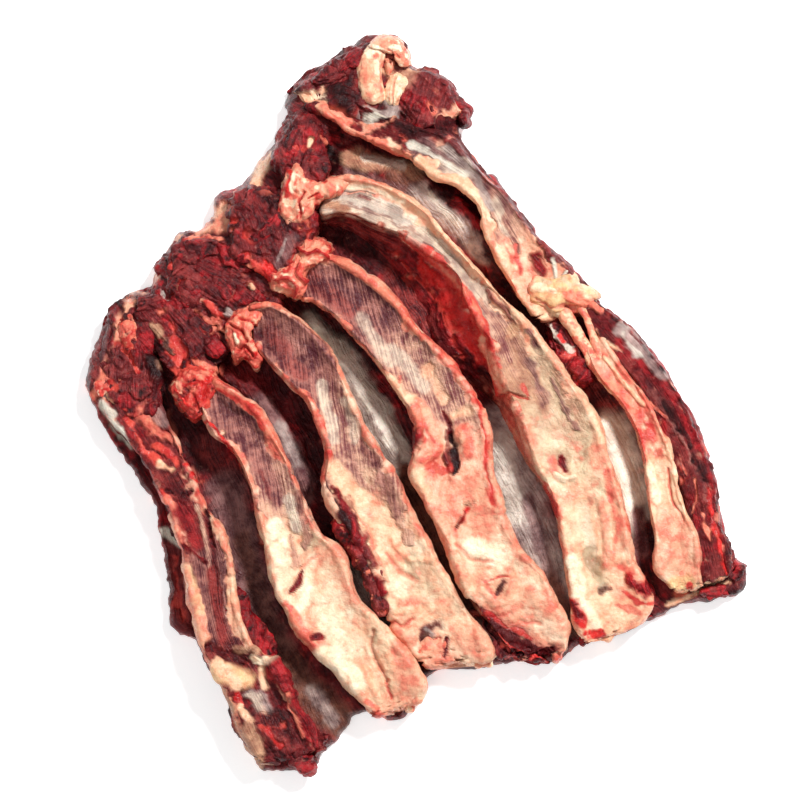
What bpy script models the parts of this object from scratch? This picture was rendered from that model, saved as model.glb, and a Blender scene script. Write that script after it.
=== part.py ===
"""Slab of raw beef rib fingers: one connected piece of meat.

A thin sheet of intercostal meat carries six long fingers of muscle and fat, which stand up
between the channels that the rib bones left, and a border muscle along the right side.
Everything is one solid, fused from a sheet, swept fingers, flaps, knobs and strands.

Units are metres, +Z up. The flat underside lies on z = 0 and the slab is centred on the origin,
with the fingers running from the head end (+Y) to the cut tail end (-Y).
"""

import math

import bmesh
import bpy
import numpy as np
from mathutils import Vector, noise

# ---- Driving dimensions -----------------------------------------------------------------------
SLAB_WIDTH = 0.437  # real width of the slab from left to right; it is 0.504 long
FLOOR = 0.012  # thickness of the sheet at the bottom of a channel
EDGE = 0.0035  # height at which the sheet's rounded edge meets its rim
EDGE_ROUND = 0.010  # how far in from the rim the sheet reaches its full thickness
ROOT = 0.004  # fingers, flaps and knobs are rooted this far above the underside
CRAG = 0.0012  # depth of the uneven relief on fingers
FLAP_CRAG = 0.0026  # depth of the uneven relief on torn flaps
CRAG_SPACING = 0.018  # distance between one lump of the relief and the next
SHEET_CELLS = (38, 36)  # grid cells of the sheet, across and along the fingers
RING_STEP = 0.0150  # distance between two rings of a finger

# ---- Traced plan ------------------------------------------------------------------------------
# Plan coordinates run right and down, in trace units. They are the slab as seen from a point
# that lies EYE_DISTANCE away and TILT off plumb towards the tail end, so a point's real place
# also depends on its height.
TRACE_WIDTH = 662.0  # SLAB_WIDTH in trace units
TRACE_CENTRE = np.array([400.0, 400.0])
UNIT = SLAB_WIDTH / TRACE_WIDTH
TILT = math.radians(12.0)
EYE_DISTANCE = 1.762
AIM = Vector((-0.0097, -0.0096, 0.025))  # the real point at TRACE_CENTRE

HEAD_EDGE = [
    (90, 400), (86, 380), (91, 362), (97, 343), (104, 322), (116, 305), (130, 292), (148, 287),
    (158, 270), (168, 250), (180, 233), (198, 230), (212, 216), (217, 195), (235, 187),
    (250, 177), (260, 158), (272, 147), (282, 128), (289, 118), (285, 105), (293, 88),
    (310, 72), (335, 63), (350, 50), (362, 39), (378, 35),
]  # fmt: skip
RIGHT_EDGE = [
    (378, 35), (392, 38), (405, 44), (410, 62), (422, 70), (436, 73), (450, 81), (459, 97),
    (473, 108), (463, 122), (454, 133), (461, 146), (472, 155), (484, 172), (497, 178),
    (508, 194), (519, 214), (533, 226), (541, 241), (556, 253), (575, 268), (590, 291),
    (612, 319), (634, 330), (650, 347), (668, 372), (682, 397), (696, 420), (708, 453),
    (717, 483), (720, 512), (727, 540), (735, 557), (748, 566),
]  # fmt: skip
TAIL_EDGE = [
    (748, 566), (744, 592), (722, 597), (700, 602), (675, 607), (656, 618), (640, 624),
    (612, 632), (585, 642), (572, 651), (549, 664), (525, 659), (497, 665), (470, 669),
    (437, 668), (427, 678), (424, 693), (412, 709), (393, 720), (366, 712), (352, 716),
    (341, 736), (325, 750), (313, 771), (290, 769), (262, 772),
]  # fmt: skip
LEFT_EDGE = [
    (262, 772), (246, 745), (235, 712), (220, 685), (205, 662), (194, 640), (176, 632),
    (169, 612), (168, 578), (161, 545), (159, 518), (150, 497), (138, 477), (118, 450),
    (105, 426), (90, 400),
]  # fmt: skip

# Each station across a finger gives its left and right rim.
FINGERS = {
    "finger_1": {
        "stations": [
            ((95, 372), (140, 360)), ((105, 408), (165, 415)), ((128, 442), (178, 440)),
            ((145, 470), (188, 470)), ((160, 500), (200, 493)), ((172, 530), (217, 518)),
            ((182, 560), (228, 545)), ((190, 590), (233, 572)), ((197, 622), (236, 603)),
            ((203, 650), (250, 640)), ((214, 677), (277, 663)), ((230, 705), (294, 694)),
            ((243, 738), (314, 726)), ((258, 768), (322, 752)),
        ],
        "heights": (0.022, 0.029, 0.034, 0.035, 0.033, 0.026),
        "dip": 0.06,
    },
    "finger_2": {
        "stations": [
            ((198, 398), (212, 378)), ((212, 433), (240, 393)), ((230, 450), (262, 415)),
            ((240, 470), (280, 447)), ((250, 497), (298, 483)), ((259, 530), (318, 528)),
            ((268, 565), (343, 555)), ((278, 598), (358, 597)), ((300, 637), (385, 627)),
            ((330, 665), (408, 653)), ((358, 700), (427, 682)), ((376, 718), (424, 700)),
        ],
        "heights": (0.036, 0.040, 0.042, 0.040, 0.036, 0.027),
        "dip": 0.13,
    },
    "finger_3": {
        "stations": [
            ((252, 340), (245, 309)), ((264, 355), (270, 303)), ((285, 382), (303, 322)),
            ((305, 402), (330, 355)), ((318, 430), (350, 392)), ((326, 457), (368, 427)),
            ((321, 482), (388, 462)), ((332, 508), (404, 493)), ((352, 540), (421, 527)),
            ((372, 572), (440, 562)), ((384, 604), (459, 597)), ((398, 634), (480, 623)),
            ((424, 670), (498, 663)),
        ],
        "heights": (0.038, 0.042, 0.043, 0.042, 0.038, 0.029),
        "dip": 0.13,
    },
    "finger_4": {
        "stations": [
            ((300, 300), (303, 258)), ((318, 303), (330, 256)), ((340, 324), (360, 269)),
            ((360, 347), (393, 297)), ((379, 371), (420, 328)), ((398, 398), (450, 358)),
            ((414, 425), (474, 392)), ((418, 447), (487, 425)), ((410, 472), (491, 462)),
            ((424, 502), (500, 502)), ((441, 537), (520, 546)), ((454, 570), (545, 572)),
            ((468, 600), (558, 598)), ((494, 638), (568, 625)), ((520, 664), (570, 653)),
        ],
        "heights": (0.040, 0.043, 0.044, 0.042, 0.038, 0.028),
        "dip": 0.12,
    },
    "finger_5": {
        "stations": [
            ((318, 216), (320, 182)), ((345, 213), (352, 176)), ((375, 226), (388, 186)),
            ((403, 238), (420, 207)), ((428, 254), (443, 231)), ((455, 274), (468, 259)),
            ((467, 302), (492, 285)), ((487, 335), (520, 315)), ((495, 365), (545, 345)),
            ((508, 396), (575, 383)), ((521, 430), (600, 423)), ((535, 468), (613, 462)),
            ((551, 502), (627, 508)), ((560, 540), (633, 545)), ((566, 582), (642, 575)),
            ((574, 622), (654, 604)), ((584, 646), (640, 628)),
        ],
        "heights": (0.042, 0.044, 0.045, 0.043, 0.038, 0.028),
        "dip": 0.11,
        "lean": (10, 30, 62, 70, 24, 4, 0, 0),
    },
    "finger_6_upper": {
        "stations": [
            ((310, 103), (338, 92)), ((345, 126), (368, 108)), ((376, 143), (400, 122)),
            ((403, 156), (430, 131)), ((432, 178), (456, 144)), ((463, 190), (478, 168)),
            ((480, 212), (502, 192)), ((488, 237), (524, 222)), ((500, 265), (544, 246)),
            ((516, 294), (572, 272)), ((540, 326), (596, 310)),
        ],
        "heights": (0.032, 0.038, 0.041, 0.040, 0.037, 0.030),
        "dip": 0.05,
    },
    "finger_6_lower": {
        "stations": [
            ((585, 345), (600, 335)), ((597, 372), (618, 362)), ((622, 405), (643, 393)),
            ((635, 432), (658, 425)), ((643, 462), (674, 462)), ((647, 500), (683, 500)),
            ((654, 540), (698, 538)), ((658, 570), (700, 568)), ((676, 592), (703, 587)),
        ],
        "heights": (0.032, 0.038, 0.040, 0.038, 0.034, 0.026),
        "dip": 0.04,
    },
    "border_muscle": {
        "stations": [
            ((430, 108), (452, 100)), ((436, 130), (458, 138)), ((452, 146), (480, 172)),
            ((482, 178), (505, 196)), ((505, 208), (532, 230)), ((530, 244), (560, 262)),
            ((560, 285), (592, 296)), ((588, 320), (630, 330)), ((612, 352), (662, 366)),
            ((642, 395), (690, 412)), ((660, 436), (709, 460)), ((676, 480), (718, 492)),
            ((688, 525), (724, 530)), ((696, 562), (731, 558)), ((702, 584), (730, 577)),
        ],
        "heights": (0.024, 0.026, 0.029, 0.032, 0.031, 0.024),
        "dip": -0.10,
    },
}  # fmt: skip

# Heavy torn flaps at the head of the fingers: outline, height of the top, and its fall to the rim.
FLAPS = {
    "flap_top": (
        [(290, 92), (312, 74), (350, 52), (380, 38), (404, 46), (410, 66), (436, 76), (456, 95),
         (458, 120), (432, 132), (392, 130), (345, 124), (306, 112)], 0.031, 0.35,
    ),
    "flap_5": (
        [(276, 142), (290, 122), (312, 120), (326, 142), (325, 172), (318, 196), (314, 214),
         (292, 224), (279, 205), (282, 182), (273, 162)], 0.041, 0.30,
    ),
    "flap_4": (
        [(236, 192), (262, 188), (284, 203), (299, 226), (303, 256), (298, 284), (274, 287),
         (258, 270), (240, 262), (234, 228)], 0.038, 0.22,
    ),
    "flap_3": (
        [(158, 268), (178, 242), (205, 236), (236, 250), (262, 278), (280, 304), (258, 318),
         (240, 338), (216, 328), (194, 308), (172, 294)], 0.033, 0.22,
    ),
    "flap_2": (
        [(130, 312), (146, 292), (178, 294), (205, 318), (230, 340), (222, 362), (208, 384),
         (186, 388), (168, 372), (148, 345)], 0.029, 0.25,
    ),
    "flap_1": (
        [(94, 375), (100, 345), (116, 312), (134, 306), (142, 330), (150, 362), (160, 400),
         (140, 420), (112, 408)], 0.027, 0.30,
    ),
    "fat_pad": (
        [(526, 282), (545, 276), (570, 282), (588, 300), (576, 316), (548, 312), (530, 300)],
        0.040, 0.25,
    ),
    "torn_lobe": (
        [(545, 322), (560, 322), (580, 345), (590, 370), (584, 384), (570, 380), (552, 352)],
        0.028, 0.35,
    ),
    "tail_muscle": (
        [(470, 612), (488, 618), (505, 632), (535, 650), (546, 662), (520, 660), (498, 656),
         (482, 640)], 0.024, 0.35,
    ),
}  # fmt: skip

# Fat knobs at the head of the fingers: plan centre, radius in trace units, height of the top.
KNOBS = [
    ((290, 206), 15, 0.047), ((300, 196), 13, 0.046), ((314, 250), 14, 0.045),
    ((287, 288), 16, 0.042), ((240, 334), 15, 0.042), ((246, 356), 10, 0.035),
    ((184, 394), 15, 0.039), ((197, 412), 11, 0.034), ((125, 336), 12, 0.031),
]  # fmt: skip

# Rounded strands: plan route, radius in trace units, height of the middle line.
STRANDS = {
    "fat_loop": (
        [(370, 104), (362, 84), (360, 62), (370, 46), (388, 43), (401, 54), (404, 70)], 9, 0.034,
    ),
    "strand_1": ([(552, 298), (572, 324), (588, 352), (606, 378), (634, 404)], 6, 0.034),
    "strand_2": ([(578, 300), (590, 328), (600, 356), (622, 384)], 5, 0.036),
    "ragged_strip": ([(336, 500), (346, 524), (362, 556), (378, 586), (386, 616)], 8, 0.027),
    "lump_1": ([(228, 584), (238, 610), (254, 634), (272, 662)], 12, 0.020),
    "curl": ([(414, 652), (426, 648), (440, 642), (452, 638)], 10, 0.024),
}  # fmt: skip

# Low swells of the sheet: plan line, half width in trace units, rise above FLOOR.
SWELLS = [
    ([(112, 380), (150, 322), (190, 276), (232, 232), (266, 190), (298, 142), (330, 100),
      (380, 78), (425, 100)], 52, 0.011),
    ([(500, 420), (515, 480), (538, 540), (562, 600)], 26, 0.004),
    ([(345, 165), (400, 176), (450, 205), (500, 262)], 34, 0.012),
    ([(605, 430), (622, 480), (632, 530)], 22, 0.008),
    ([(222, 372), (250, 388), (276, 430), (300, 480)], 22, 0.009),
    ([(318, 330), (350, 372), (378, 420), (400, 465)], 20, 0.006),
]  # fmt: skip

# Closed cross-section of a finger: side (-1 left rim, +1 right rim) and share of its height.
SECTION = [
    (0.00, 0.0), (-0.78, 0.0), (-0.96, 0.22), (-0.94, 0.52), (-1.00, 0.80), (-0.90, 0.98),
    (-0.68, 0.97), (-0.34, 0.95), (0.00, 0.94), (0.34, 0.95), (0.68, 0.97), (0.90, 0.98),
    (1.00, 0.80), (0.94, 0.52), (0.96, 0.22), (0.78, 0.0),
]  # fmt: skip
FLAP_FOOT = 0.35  # how much wider a flap is at its root than at its rim
END_ROUND = 0.011  # length of the rounded head and tail of a finger
END_SCALE = 0.35  # width of a finger's last ring, as a share of the full width
SLIVER = 0.00003  # points closer than this after the fusing become one
SEED_SHIFT = Vector((3.7, 1.3, 9.1))  # where the relief is read in the noise field


def place(plan, height):
    """World points (n, 3) of plan points (n, 2) at the given heights (n)."""
    plan = np.asarray(plan, float).reshape(-1, 2)
    right = (plan[:, 0] - TRACE_CENTRE[0]) * UNIT
    up = (TRACE_CENTRE[1] - plan[:, 1]) * UNIT
    eye = np.array(AIM) + EYE_DISTANCE * np.array([0.0, -math.sin(TILT), math.cos(TILT)])
    sight = np.stack([
        right,
        up * math.cos(TILT) + EYE_DISTANCE * math.sin(TILT),
        up * math.sin(TILT) - EYE_DISTANCE * math.cos(TILT),
    ], axis=1)
    reach = (np.broadcast_to(height, len(plan)) - eye[2]) / sight[:, 2]
    return eye + sight * reach[:, None]


def spline(points, share):
    """Points on the Catmull-Rom curve through points, at shares 0 to 1 of its parameter."""
    knots = np.asarray(points, float)
    if knots.ndim == 1:
        knots = knots[:, None]
    padded = np.vstack([2 * knots[0] - knots[1], knots, 2 * knots[-1] - knots[-2]])
    at = np.clip(np.asarray(share, float), 0, 1) * (len(knots) - 1)
    index = np.minimum(at.astype(int), len(knots) - 2)
    t = (at - index)[:, None]
    a, b, c, d = (padded[index + k] for k in range(4))
    return 0.5 * (
        2 * b + (c - a) * t + (2 * a - 5 * b + 4 * c - d) * t**2 + (3 * b - a - 3 * c + d) * t**3
    )


def even_curve(points, share, samples=400):
    """Like spline, but share counts the curve's length."""
    fine = spline(points, np.linspace(0, 1, samples))
    run = np.concatenate([[0], np.cumsum(np.linalg.norm(np.diff(fine, axis=0), axis=1))])
    at = np.asarray(share, float) * run[-1]
    return np.stack([np.interp(at, run, fine[:, k]) for k in range(fine.shape[1])], axis=1)


def distance_to_line(plan, line):
    """Distance of plan points (n, 2) to an open polyline, in trace units."""
    nearest = np.full(len(plan), 1e9)
    for start, end in zip(line[:-1], line[1:]):
        start, run = np.array(start, float), np.array(end, float) - np.array(start, float)
        along = np.clip((plan - start) @ run / (run @ run), 0, 1)
        gap = plan - start - along[:, None] * run
        nearest = np.minimum(nearest, np.hypot(gap[:, 0], gap[:, 1]))
    return nearest


def smooth(share):
    """Smooth step from 0 to 1."""
    share = np.clip(share, 0, 1)
    return share * share * (3 - 2 * share)


def coords_of(bm):
    """The vertices' places as an array."""
    return np.array([vert.co for vert in bm.verts])


def set_coords(bm, places):
    """Moves each vertex to its row of places."""
    for vert, point in zip(bm.verts, places):
        vert.co = point


def add_relief(bm, depth):
    """Pushes each vertex in or out by an uneven, repeatable amount; the underside stays put."""
    bm.normal_update()
    for vert in bm.verts:
        if vert.co.z > ROOT * 1.5:
            lump = noise.noise(vert.co / CRAG_SPACING + SEED_SHIFT)
            vert.co += vert.normal * depth * (lump + 0.5 * noise.noise(vert.co / CRAG_SPACING * 2.3))


def make_object(bm, name):
    """Turns a bmesh into an object in the scene's own collection."""
    bmesh.ops.recalc_face_normals(bm, faces=bm.faces)
    mesh = bpy.data.meshes.new(name)
    bm.to_mesh(mesh)
    bm.free()
    made = bpy.data.objects.new(name, mesh)
    bpy.context.scene.collection.objects.link(made)
    return made


def sheet_height(plan, inset):
    """Height of the sheet's top at plan points, with inset their distance in from the rim."""
    height = np.full(len(plan), FLOOR)
    for line, half_width, rise in SWELLS:
        share = 1 - distance_to_line(plan, line) / half_width
        height = np.maximum(height, FLOOR + rise * smooth(share))
    edge = np.sqrt(np.clip(1 - (1 - np.clip(inset / EDGE_ROUND, 0, 1)) ** 2, 0, 1))
    return EDGE + (height - EDGE) * edge


def make_sheet():
    """The sheet that carries everything: a grid fitted between the four traced edges."""
    bm = bmesh.new()
    cells_x, cells_y = SHEET_CELLS
    bmesh.ops.create_grid(bm, x_segments=cells_x, y_segments=cells_y, size=0.5)
    flat = coords_of(bm)
    across, along = flat[:, 0] + 0.5, flat[:, 1] + 0.5
    tail, head = even_curve(TAIL_EDGE[::-1], across), even_curve(HEAD_EDGE, across)
    left, right = even_curve(LEFT_EDGE, along), even_curve(RIGHT_EDGE[::-1], along)
    u, v = across[:, None], along[:, None]
    corners = (
        (1 - u) * (1 - v) * np.array(LEFT_EDGE[0]) + u * (1 - v) * np.array(TAIL_EDGE[0])
        + (1 - u) * v * np.array(HEAD_EDGE[0]) + u * v * np.array(RIGHT_EDGE[0])
    )  # fmt: skip
    plan = (1 - v) * tail + v * head + (1 - u) * left + u * right - corners
    span = SLAB_WIDTH
    inset = np.minimum(np.minimum(across, 1 - across), np.minimum(along, 1 - along)) * span
    top = place(plan, sheet_height(plan, inset))
    bottom = place(plan, EDGE)
    bottom[:, 2] = 0.0

    lower = list(bm.verts)
    raised = bmesh.ops.extrude_face_region(bm, geom=list(bm.faces), use_keep_orig=True)
    upper = [item for item in raised["geom"] if isinstance(item, bmesh.types.BMVert)]
    row_of = {tuple(np.round(vert.co, 6)): row for row, vert in enumerate(lower)}
    rows = [row_of[tuple(np.round(vert.co, 6))] for vert in upper]
    for vert, row in zip(upper, rows):
        vert.co = top[row]
    for vert, point in zip(lower, bottom):
        vert.co = point
    flat_faces = [face for face in bm.faces if all(vert.co.z < 1e-6 for vert in face.verts)]
    bmesh.ops.dissolve_faces(bm, faces=flat_faces, use_verts=False)
    loose = [vert for vert in bm.verts if not vert.link_faces]
    bmesh.ops.delete(bm, geom=loose, context="VERTS")
    return make_object(bm, "rib_finger_slab")


def make_finger(name, stations, heights, dip, lean=(0, 0)):
    """One swept finger: its section follows the two traced rims from head to tail."""
    left_rim = [station[0] for station in stations]
    right_rim = [station[1] for station in stations]
    middle = (np.array(left_rim, float) + np.array(right_rim, float)) / 2
    length = np.linalg.norm(np.diff(middle, axis=0), axis=1).sum() * UNIT
    rings = int(round(length / RING_STEP))
    bm = bmesh.new()
    bmesh.ops.create_grid(bm, x_segments=len(SECTION), y_segments=rings, size=0.5)
    flat = coords_of(bm)
    around, along = flat[:, 0] + 0.5, flat[:, 1] + 0.5
    corner = np.round(around * len(SECTION)).astype(int) % len(SECTION)
    side, level = np.array(SECTION)[corner].T

    from_end = np.minimum(along, 1 - along) * length
    cap = np.sqrt(np.clip(1 - (1 - np.clip(from_end / END_ROUND, 0, 1)) ** 2, 0, 1))
    width = END_SCALE + (1 - END_SCALE) * cap
    crest = spline(heights, along)[:, 0] * (0.55 + 0.45 * cap)
    hollow = dip * crest * (1 - np.clip(np.abs(side) / 0.8, 0, 1) ** 2) * (level > 0.9)
    height = ROOT + (crest - ROOT) * level - hollow
    foot = spline(lean, along)[:, 0] * np.clip(1 - level / 0.8, 0, 1) * (side < -0.5)

    left, right = spline(left_rim, along), spline(right_rim, along)
    centre, half = (left + right) / 2, (right - left) / 2
    outward = -half / np.maximum(np.linalg.norm(half, axis=1), 1e-6)[:, None]
    plan = centre + half * (side * width)[:, None] + outward * foot[:, None]
    set_coords(bm, place(plan, height))
    bmesh.ops.remove_doubles(bm, verts=bm.verts, dist=1e-6)
    bmesh.ops.holes_fill(bm, edges=bm.edges, sides=0)
    bmesh.ops.recalc_face_normals(bm, faces=bm.faces)
    add_relief(bm, CRAG)
    return make_object(bm, name)


def make_flap(name, outline, top, fall):
    """A torn flap of meat: a sphere spread out to its outline, domed above and flat below."""
    bm = bmesh.new()
    bmesh.ops.create_uvsphere(bm, u_segments=15, v_segments=8, radius=1.0)
    ball = coords_of(bm)
    centre = np.mean(outline, axis=0)
    turn = np.arctan2(ball[:, 1], ball[:, 0]) / (2 * math.pi) % 1.0
    rim = even_curve(list(outline) + [outline[0]], turn)
    out = np.hypot(ball[:, 0], ball[:, 1])
    foot = 1 + FLAP_FOOT * np.clip(-ball[:, 2], 0, 0.5)
    plan = centre + (rim - centre) * (foot * out**0.8)[:, None]
    dome = (1 - fall) + fall * np.clip(ball[:, 2], 0, 1) ** 0.5
    shoulder = np.clip(0.55 + ball[:, 2] * 1.25, 0, 1)
    height = np.where(ball[:, 2] > -0.05, top * dome * shoulder, ROOT)
    set_coords(bm, place(plan, height))
    bmesh.ops.recalc_face_normals(bm, faces=bm.faces)
    add_relief(bm, FLAP_CRAG)
    return make_object(bm, name)


def make_knob(name, centre, radius, top):
    """A rounded knob of fat that stands on the slab."""
    bm = bmesh.new()
    bmesh.ops.create_icosphere(bm, subdivisions=2, radius=1.0)
    ball = coords_of(bm)
    half = radius * UNIT * 1.05
    plan = np.array(centre, float) + ball[:, :2] * [radius, -radius]
    height = np.where(ball[:, 2] > 0, top - half + half * ball[:, 2], top - half)
    set_coords(bm, place(plan, np.where(ball[:, 2] < -0.5, ROOT * 2, height)))
    add_relief(bm, CRAG)
    return make_object(bm, name)


def make_strand(name, route, radius, middle):
    """A rounded strand that follows its route and is closed at both ends."""
    sides = 8
    length = np.linalg.norm(np.diff(np.array(route, float), axis=0), axis=1).sum() * UNIT
    bm = bmesh.new()
    bmesh.ops.create_grid(bm, x_segments=sides, y_segments=int(round(length / 0.010)), size=0.5)
    flat = coords_of(bm)
    angle, along = (flat[:, 0] + 0.5) * 2 * math.pi, flat[:, 1] + 0.5
    line = even_curve(route, along)
    ahead = even_curve(route, np.clip(along + 0.02, 0, 1)) - even_curve(route, along - 0.02)
    ahead /= np.linalg.norm(ahead, axis=1)[:, None]
    sideways = np.stack([-ahead[:, 1], ahead[:, 0]], axis=1)
    thick = radius * (0.5 + 0.5 * np.sqrt(np.clip(np.minimum(along, 1 - along) * 8, 0, 1)))
    plan = line + sideways * (np.cos(angle) * thick)[:, None]
    height = middle + np.sin(angle) * thick * UNIT
    height = np.where(np.sin(angle) < -0.5, ROOT * 2, height)
    set_coords(bm, place(plan, height))
    bmesh.ops.remove_doubles(bm, verts=bm.verts, dist=1e-6)
    bmesh.ops.holes_fill(bm, edges=bm.edges, sides=0)
    return make_object(bm, name)


def keep_largest_shell(mesh):
    """Drops loose scraps, and the walls of hollows that the fusing sealed."""
    bm = bmesh.new()
    bm.from_mesh(mesh)
    bmesh.ops.remove_doubles(bm, verts=bm.verts, dist=SLIVER)
    bmesh.ops.dissolve_degenerate(bm, edges=bm.edges, dist=SLIVER)
    bmesh.ops.triangulate(bm, faces=bm.faces)
    unseen, shells = set(bm.faces), []
    while unseen:
        shell, front = set(), [unseen.pop()]
        while front:
            face = front.pop()
            shell.add(face)
            pairs = [edge.link_faces for edge in face.edges if len(edge.link_faces) == 2]
            for other in {other for pair in pairs for other in pair} & unseen:
                unseen.discard(other)
                front.append(other)
        shells.append(shell)
    largest = max(shells, key=len)
    scraps = [face for face in bm.faces if face not in largest]
    bmesh.ops.delete(bm, geom=scraps, context="FACES")
    bm.to_mesh(mesh)
    bm.free()


def meat_material():
    """Raw rib meat seen as a whole: pale fat over dark red muscle, moist."""
    material = bpy.data.materials.new("raw_rib_meat")
    material.use_nodes = True
    shader = material.node_tree.nodes["Principled BSDF"]
    shader.inputs["Base Color"].default_value = (0.52, 0.24, 0.18, 1.0)
    shader.inputs["Roughness"].default_value = 0.42
    shader.inputs["Metallic"].default_value = 0.0
    return material


def fuse(slab, pieces):
    """One Boolean union of the sheet with all the pieces, applied; the pieces are removed."""
    forms = bpy.data.collections.new("fused_forms")
    bpy.context.scene.collection.children.link(forms)
    for piece in pieces:
        bpy.context.scene.collection.objects.unlink(piece)
        forms.objects.link(piece)
        piece.hide_render = True
        piece.display_type = "WIRE"
    union = slab.modifiers.new("fuse", "BOOLEAN")
    union.operation = "UNION"
    union.operand_type = "COLLECTION"
    union.collection = forms
    union.solver = "EXACT"
    graph = bpy.context.evaluated_depsgraph_get()
    fused = bpy.data.meshes.new_from_object(slab.evaluated_get(graph))
    slab.modifiers.clear()
    slab.data = fused
    for piece in pieces:
        bpy.data.objects.remove(piece)
    bpy.data.collections.remove(forms)
    keep_largest_shell(fused)


def main():
    for old in list(bpy.data.objects):
        bpy.data.objects.remove(old)
    slab = make_sheet()
    pieces = [make_finger(name, **shape) for name, shape in FINGERS.items()]
    pieces += [make_flap(name, *shape) for name, shape in FLAPS.items()]
    pieces += [make_knob(f"knob_{i}", *shape) for i, shape in enumerate(KNOBS, 1)]
    pieces += [make_strand(name, *shape) for name, shape in STRANDS.items()]
    fuse(slab, pieces)
    slab.data.materials.clear()
    slab.data.materials.append(meat_material())
    slab.data.shade_smooth()
    slab.data.set_sharp_from_angle(angle=math.radians(60))


main()
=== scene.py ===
"""Looks of a slab of raw beef rib fingers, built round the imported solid.

The slab is a sheet of meat that carries six long fingers of muscle and fat with rib channels
between them, torn flaps and fat knobs at the head end, and a border muscle on the right.
Every form is placed in plan coordinates, the slab as seen from the camera, and set at a real
height, so each piece lies where the solid has it. All lengths are metres unless they say so.
"""

import logging  # noqa: E402
import math  # noqa: E402
from dataclasses import dataclass  # noqa: E402
from enum import Enum  # noqa: E402

import bmesh  # noqa: E402
import bpy  # noqa: E402
import numpy as np  # noqa: E402
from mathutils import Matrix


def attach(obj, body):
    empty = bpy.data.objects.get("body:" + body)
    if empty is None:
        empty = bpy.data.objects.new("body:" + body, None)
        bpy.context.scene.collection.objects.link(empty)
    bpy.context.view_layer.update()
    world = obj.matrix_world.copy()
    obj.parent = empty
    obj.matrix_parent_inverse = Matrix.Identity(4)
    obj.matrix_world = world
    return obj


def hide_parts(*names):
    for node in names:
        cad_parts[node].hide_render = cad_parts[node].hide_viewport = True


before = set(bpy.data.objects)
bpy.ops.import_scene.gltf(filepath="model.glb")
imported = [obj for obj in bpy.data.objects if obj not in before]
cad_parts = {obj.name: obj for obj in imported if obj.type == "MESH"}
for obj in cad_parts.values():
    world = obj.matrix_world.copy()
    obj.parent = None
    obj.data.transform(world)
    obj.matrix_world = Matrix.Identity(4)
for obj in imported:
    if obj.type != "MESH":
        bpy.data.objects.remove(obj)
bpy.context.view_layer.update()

LOG = logging.getLogger("rib_fingers")
NODE = "rib_finger_slab"
MM = 0.001
ROOT = 4 * MM  # height at which fingers, flaps and strands are rooted in the sheet
Pair = tuple[float, float]
Spot = tuple[float, float, float]
Tone = tuple[int, int, int]  # red, green and blue, as a screen shows them


# ---- Plan coordinates ----
@dataclass(frozen=True)
class Plan:
    """The traced plan: where a point that the camera sees lies at a given height.

    Plan coordinates run right and down in steps of unit, over a square of side steps.

    Attributes:
        width: Real width of the slab in the plan.
        steps: The same in plan steps.
        side: Side of the square in plan steps.
        tilt: Angle between the view and straight down.
        distance: From the viewer to the plane of the plan.
        aim: Middle of that plane.
    """

    width: float = 0.437
    steps: float = 662.0
    side: float = 800.0
    tilt: float = math.radians(12.0)
    distance: float = 1.762
    aim: Spot = (-0.0097, -0.0096, 0.025)

    @property
    def unit(self) -> float:
        """Real length of one plan step."""
        return self.width / self.steps

    @property
    def centre(self) -> float:
        """Plan coordinate of the middle of the square, across and down."""
        return self.side / 2

    @property
    def forward(self) -> np.ndarray:
        """Viewing direction."""
        return np.array([0.0, math.sin(self.tilt), -math.cos(self.tilt)])

    @property
    def upward(self) -> np.ndarray:
        """Direction that points up in the picture."""
        return np.array([0.0, math.cos(self.tilt), math.sin(self.tilt)])

    @property
    def eye(self) -> np.ndarray:
        """Place of the viewer."""
        return np.array(self.aim) - self.distance * self.forward

    def place(self, plan: np.ndarray, height: np.ndarray | float) -> np.ndarray:
        """Finds real points for plan points.

        Args:
            plan: Plan points, one row each.
            height: Height above the table, one for each point or one for all.

        Returns:
            Real points, one row each.
        """
        right = (plan[:, 0] - self.centre) * self.unit
        up = (self.centre - plan[:, 1]) * self.unit
        sight = self.distance * self.forward + up[:, None] * self.upward
        sight[:, 0] += right
        reach = (height - self.eye[2]) / sight[:, 2]
        return self.eye + sight * reach[:, None]

    def seen(self, points: np.ndarray) -> np.ndarray:
        """Finds the plan points at which real points are seen.

        Args:
            points: Real points, one row each.

        Returns:
            Plan points, one row each.
        """
        ray = points - self.eye
        scale = self.distance / (ray @ self.forward) / self.unit
        across, up = ray[:, 0] * scale, (ray @ self.upward) * scale
        return np.stack([self.centre + across, self.centre - up], axis=1)


PLAN = Plan()


# ---- Curves and noise ----
def spline(points: object, share: np.ndarray) -> np.ndarray:
    """Evaluates the Catmull-Rom curve through points.

    Args:
        points: The points, or plain numbers, that the curve passes through.
        share: Places along it, from 0 to 1, with the points evenly spaced.

    Returns:
        One row for each place.
    """
    knots = np.asarray(points, float)
    if knots.ndim == 1:
        knots = knots[:, None]
    padded = np.vstack([2 * knots[0] - knots[1], knots, 2 * knots[-1] - knots[-2]])
    at = np.clip(np.asarray(share, float), 0, 1) * (len(knots) - 1)
    index = np.minimum(at.astype(int), len(knots) - 2)
    t = (at - index)[:, None]
    a, b, c, d = (padded[index + k] for k in range(4))
    return 0.5 * (
        2 * b + (c - a) * t + (2 * a - 5 * b + 4 * c - d) * t**2 + (3 * b - a - 3 * c + d) * t**3
    )


def level_at(values: object, share: np.ndarray) -> np.ndarray:
    """Reads evenly spaced numbers at shares from 0 to 1, on straight runs between them."""
    course = np.atleast_1d(np.asarray(values, float))
    return np.interp(share, np.linspace(0, 1, len(course)), course)


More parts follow.
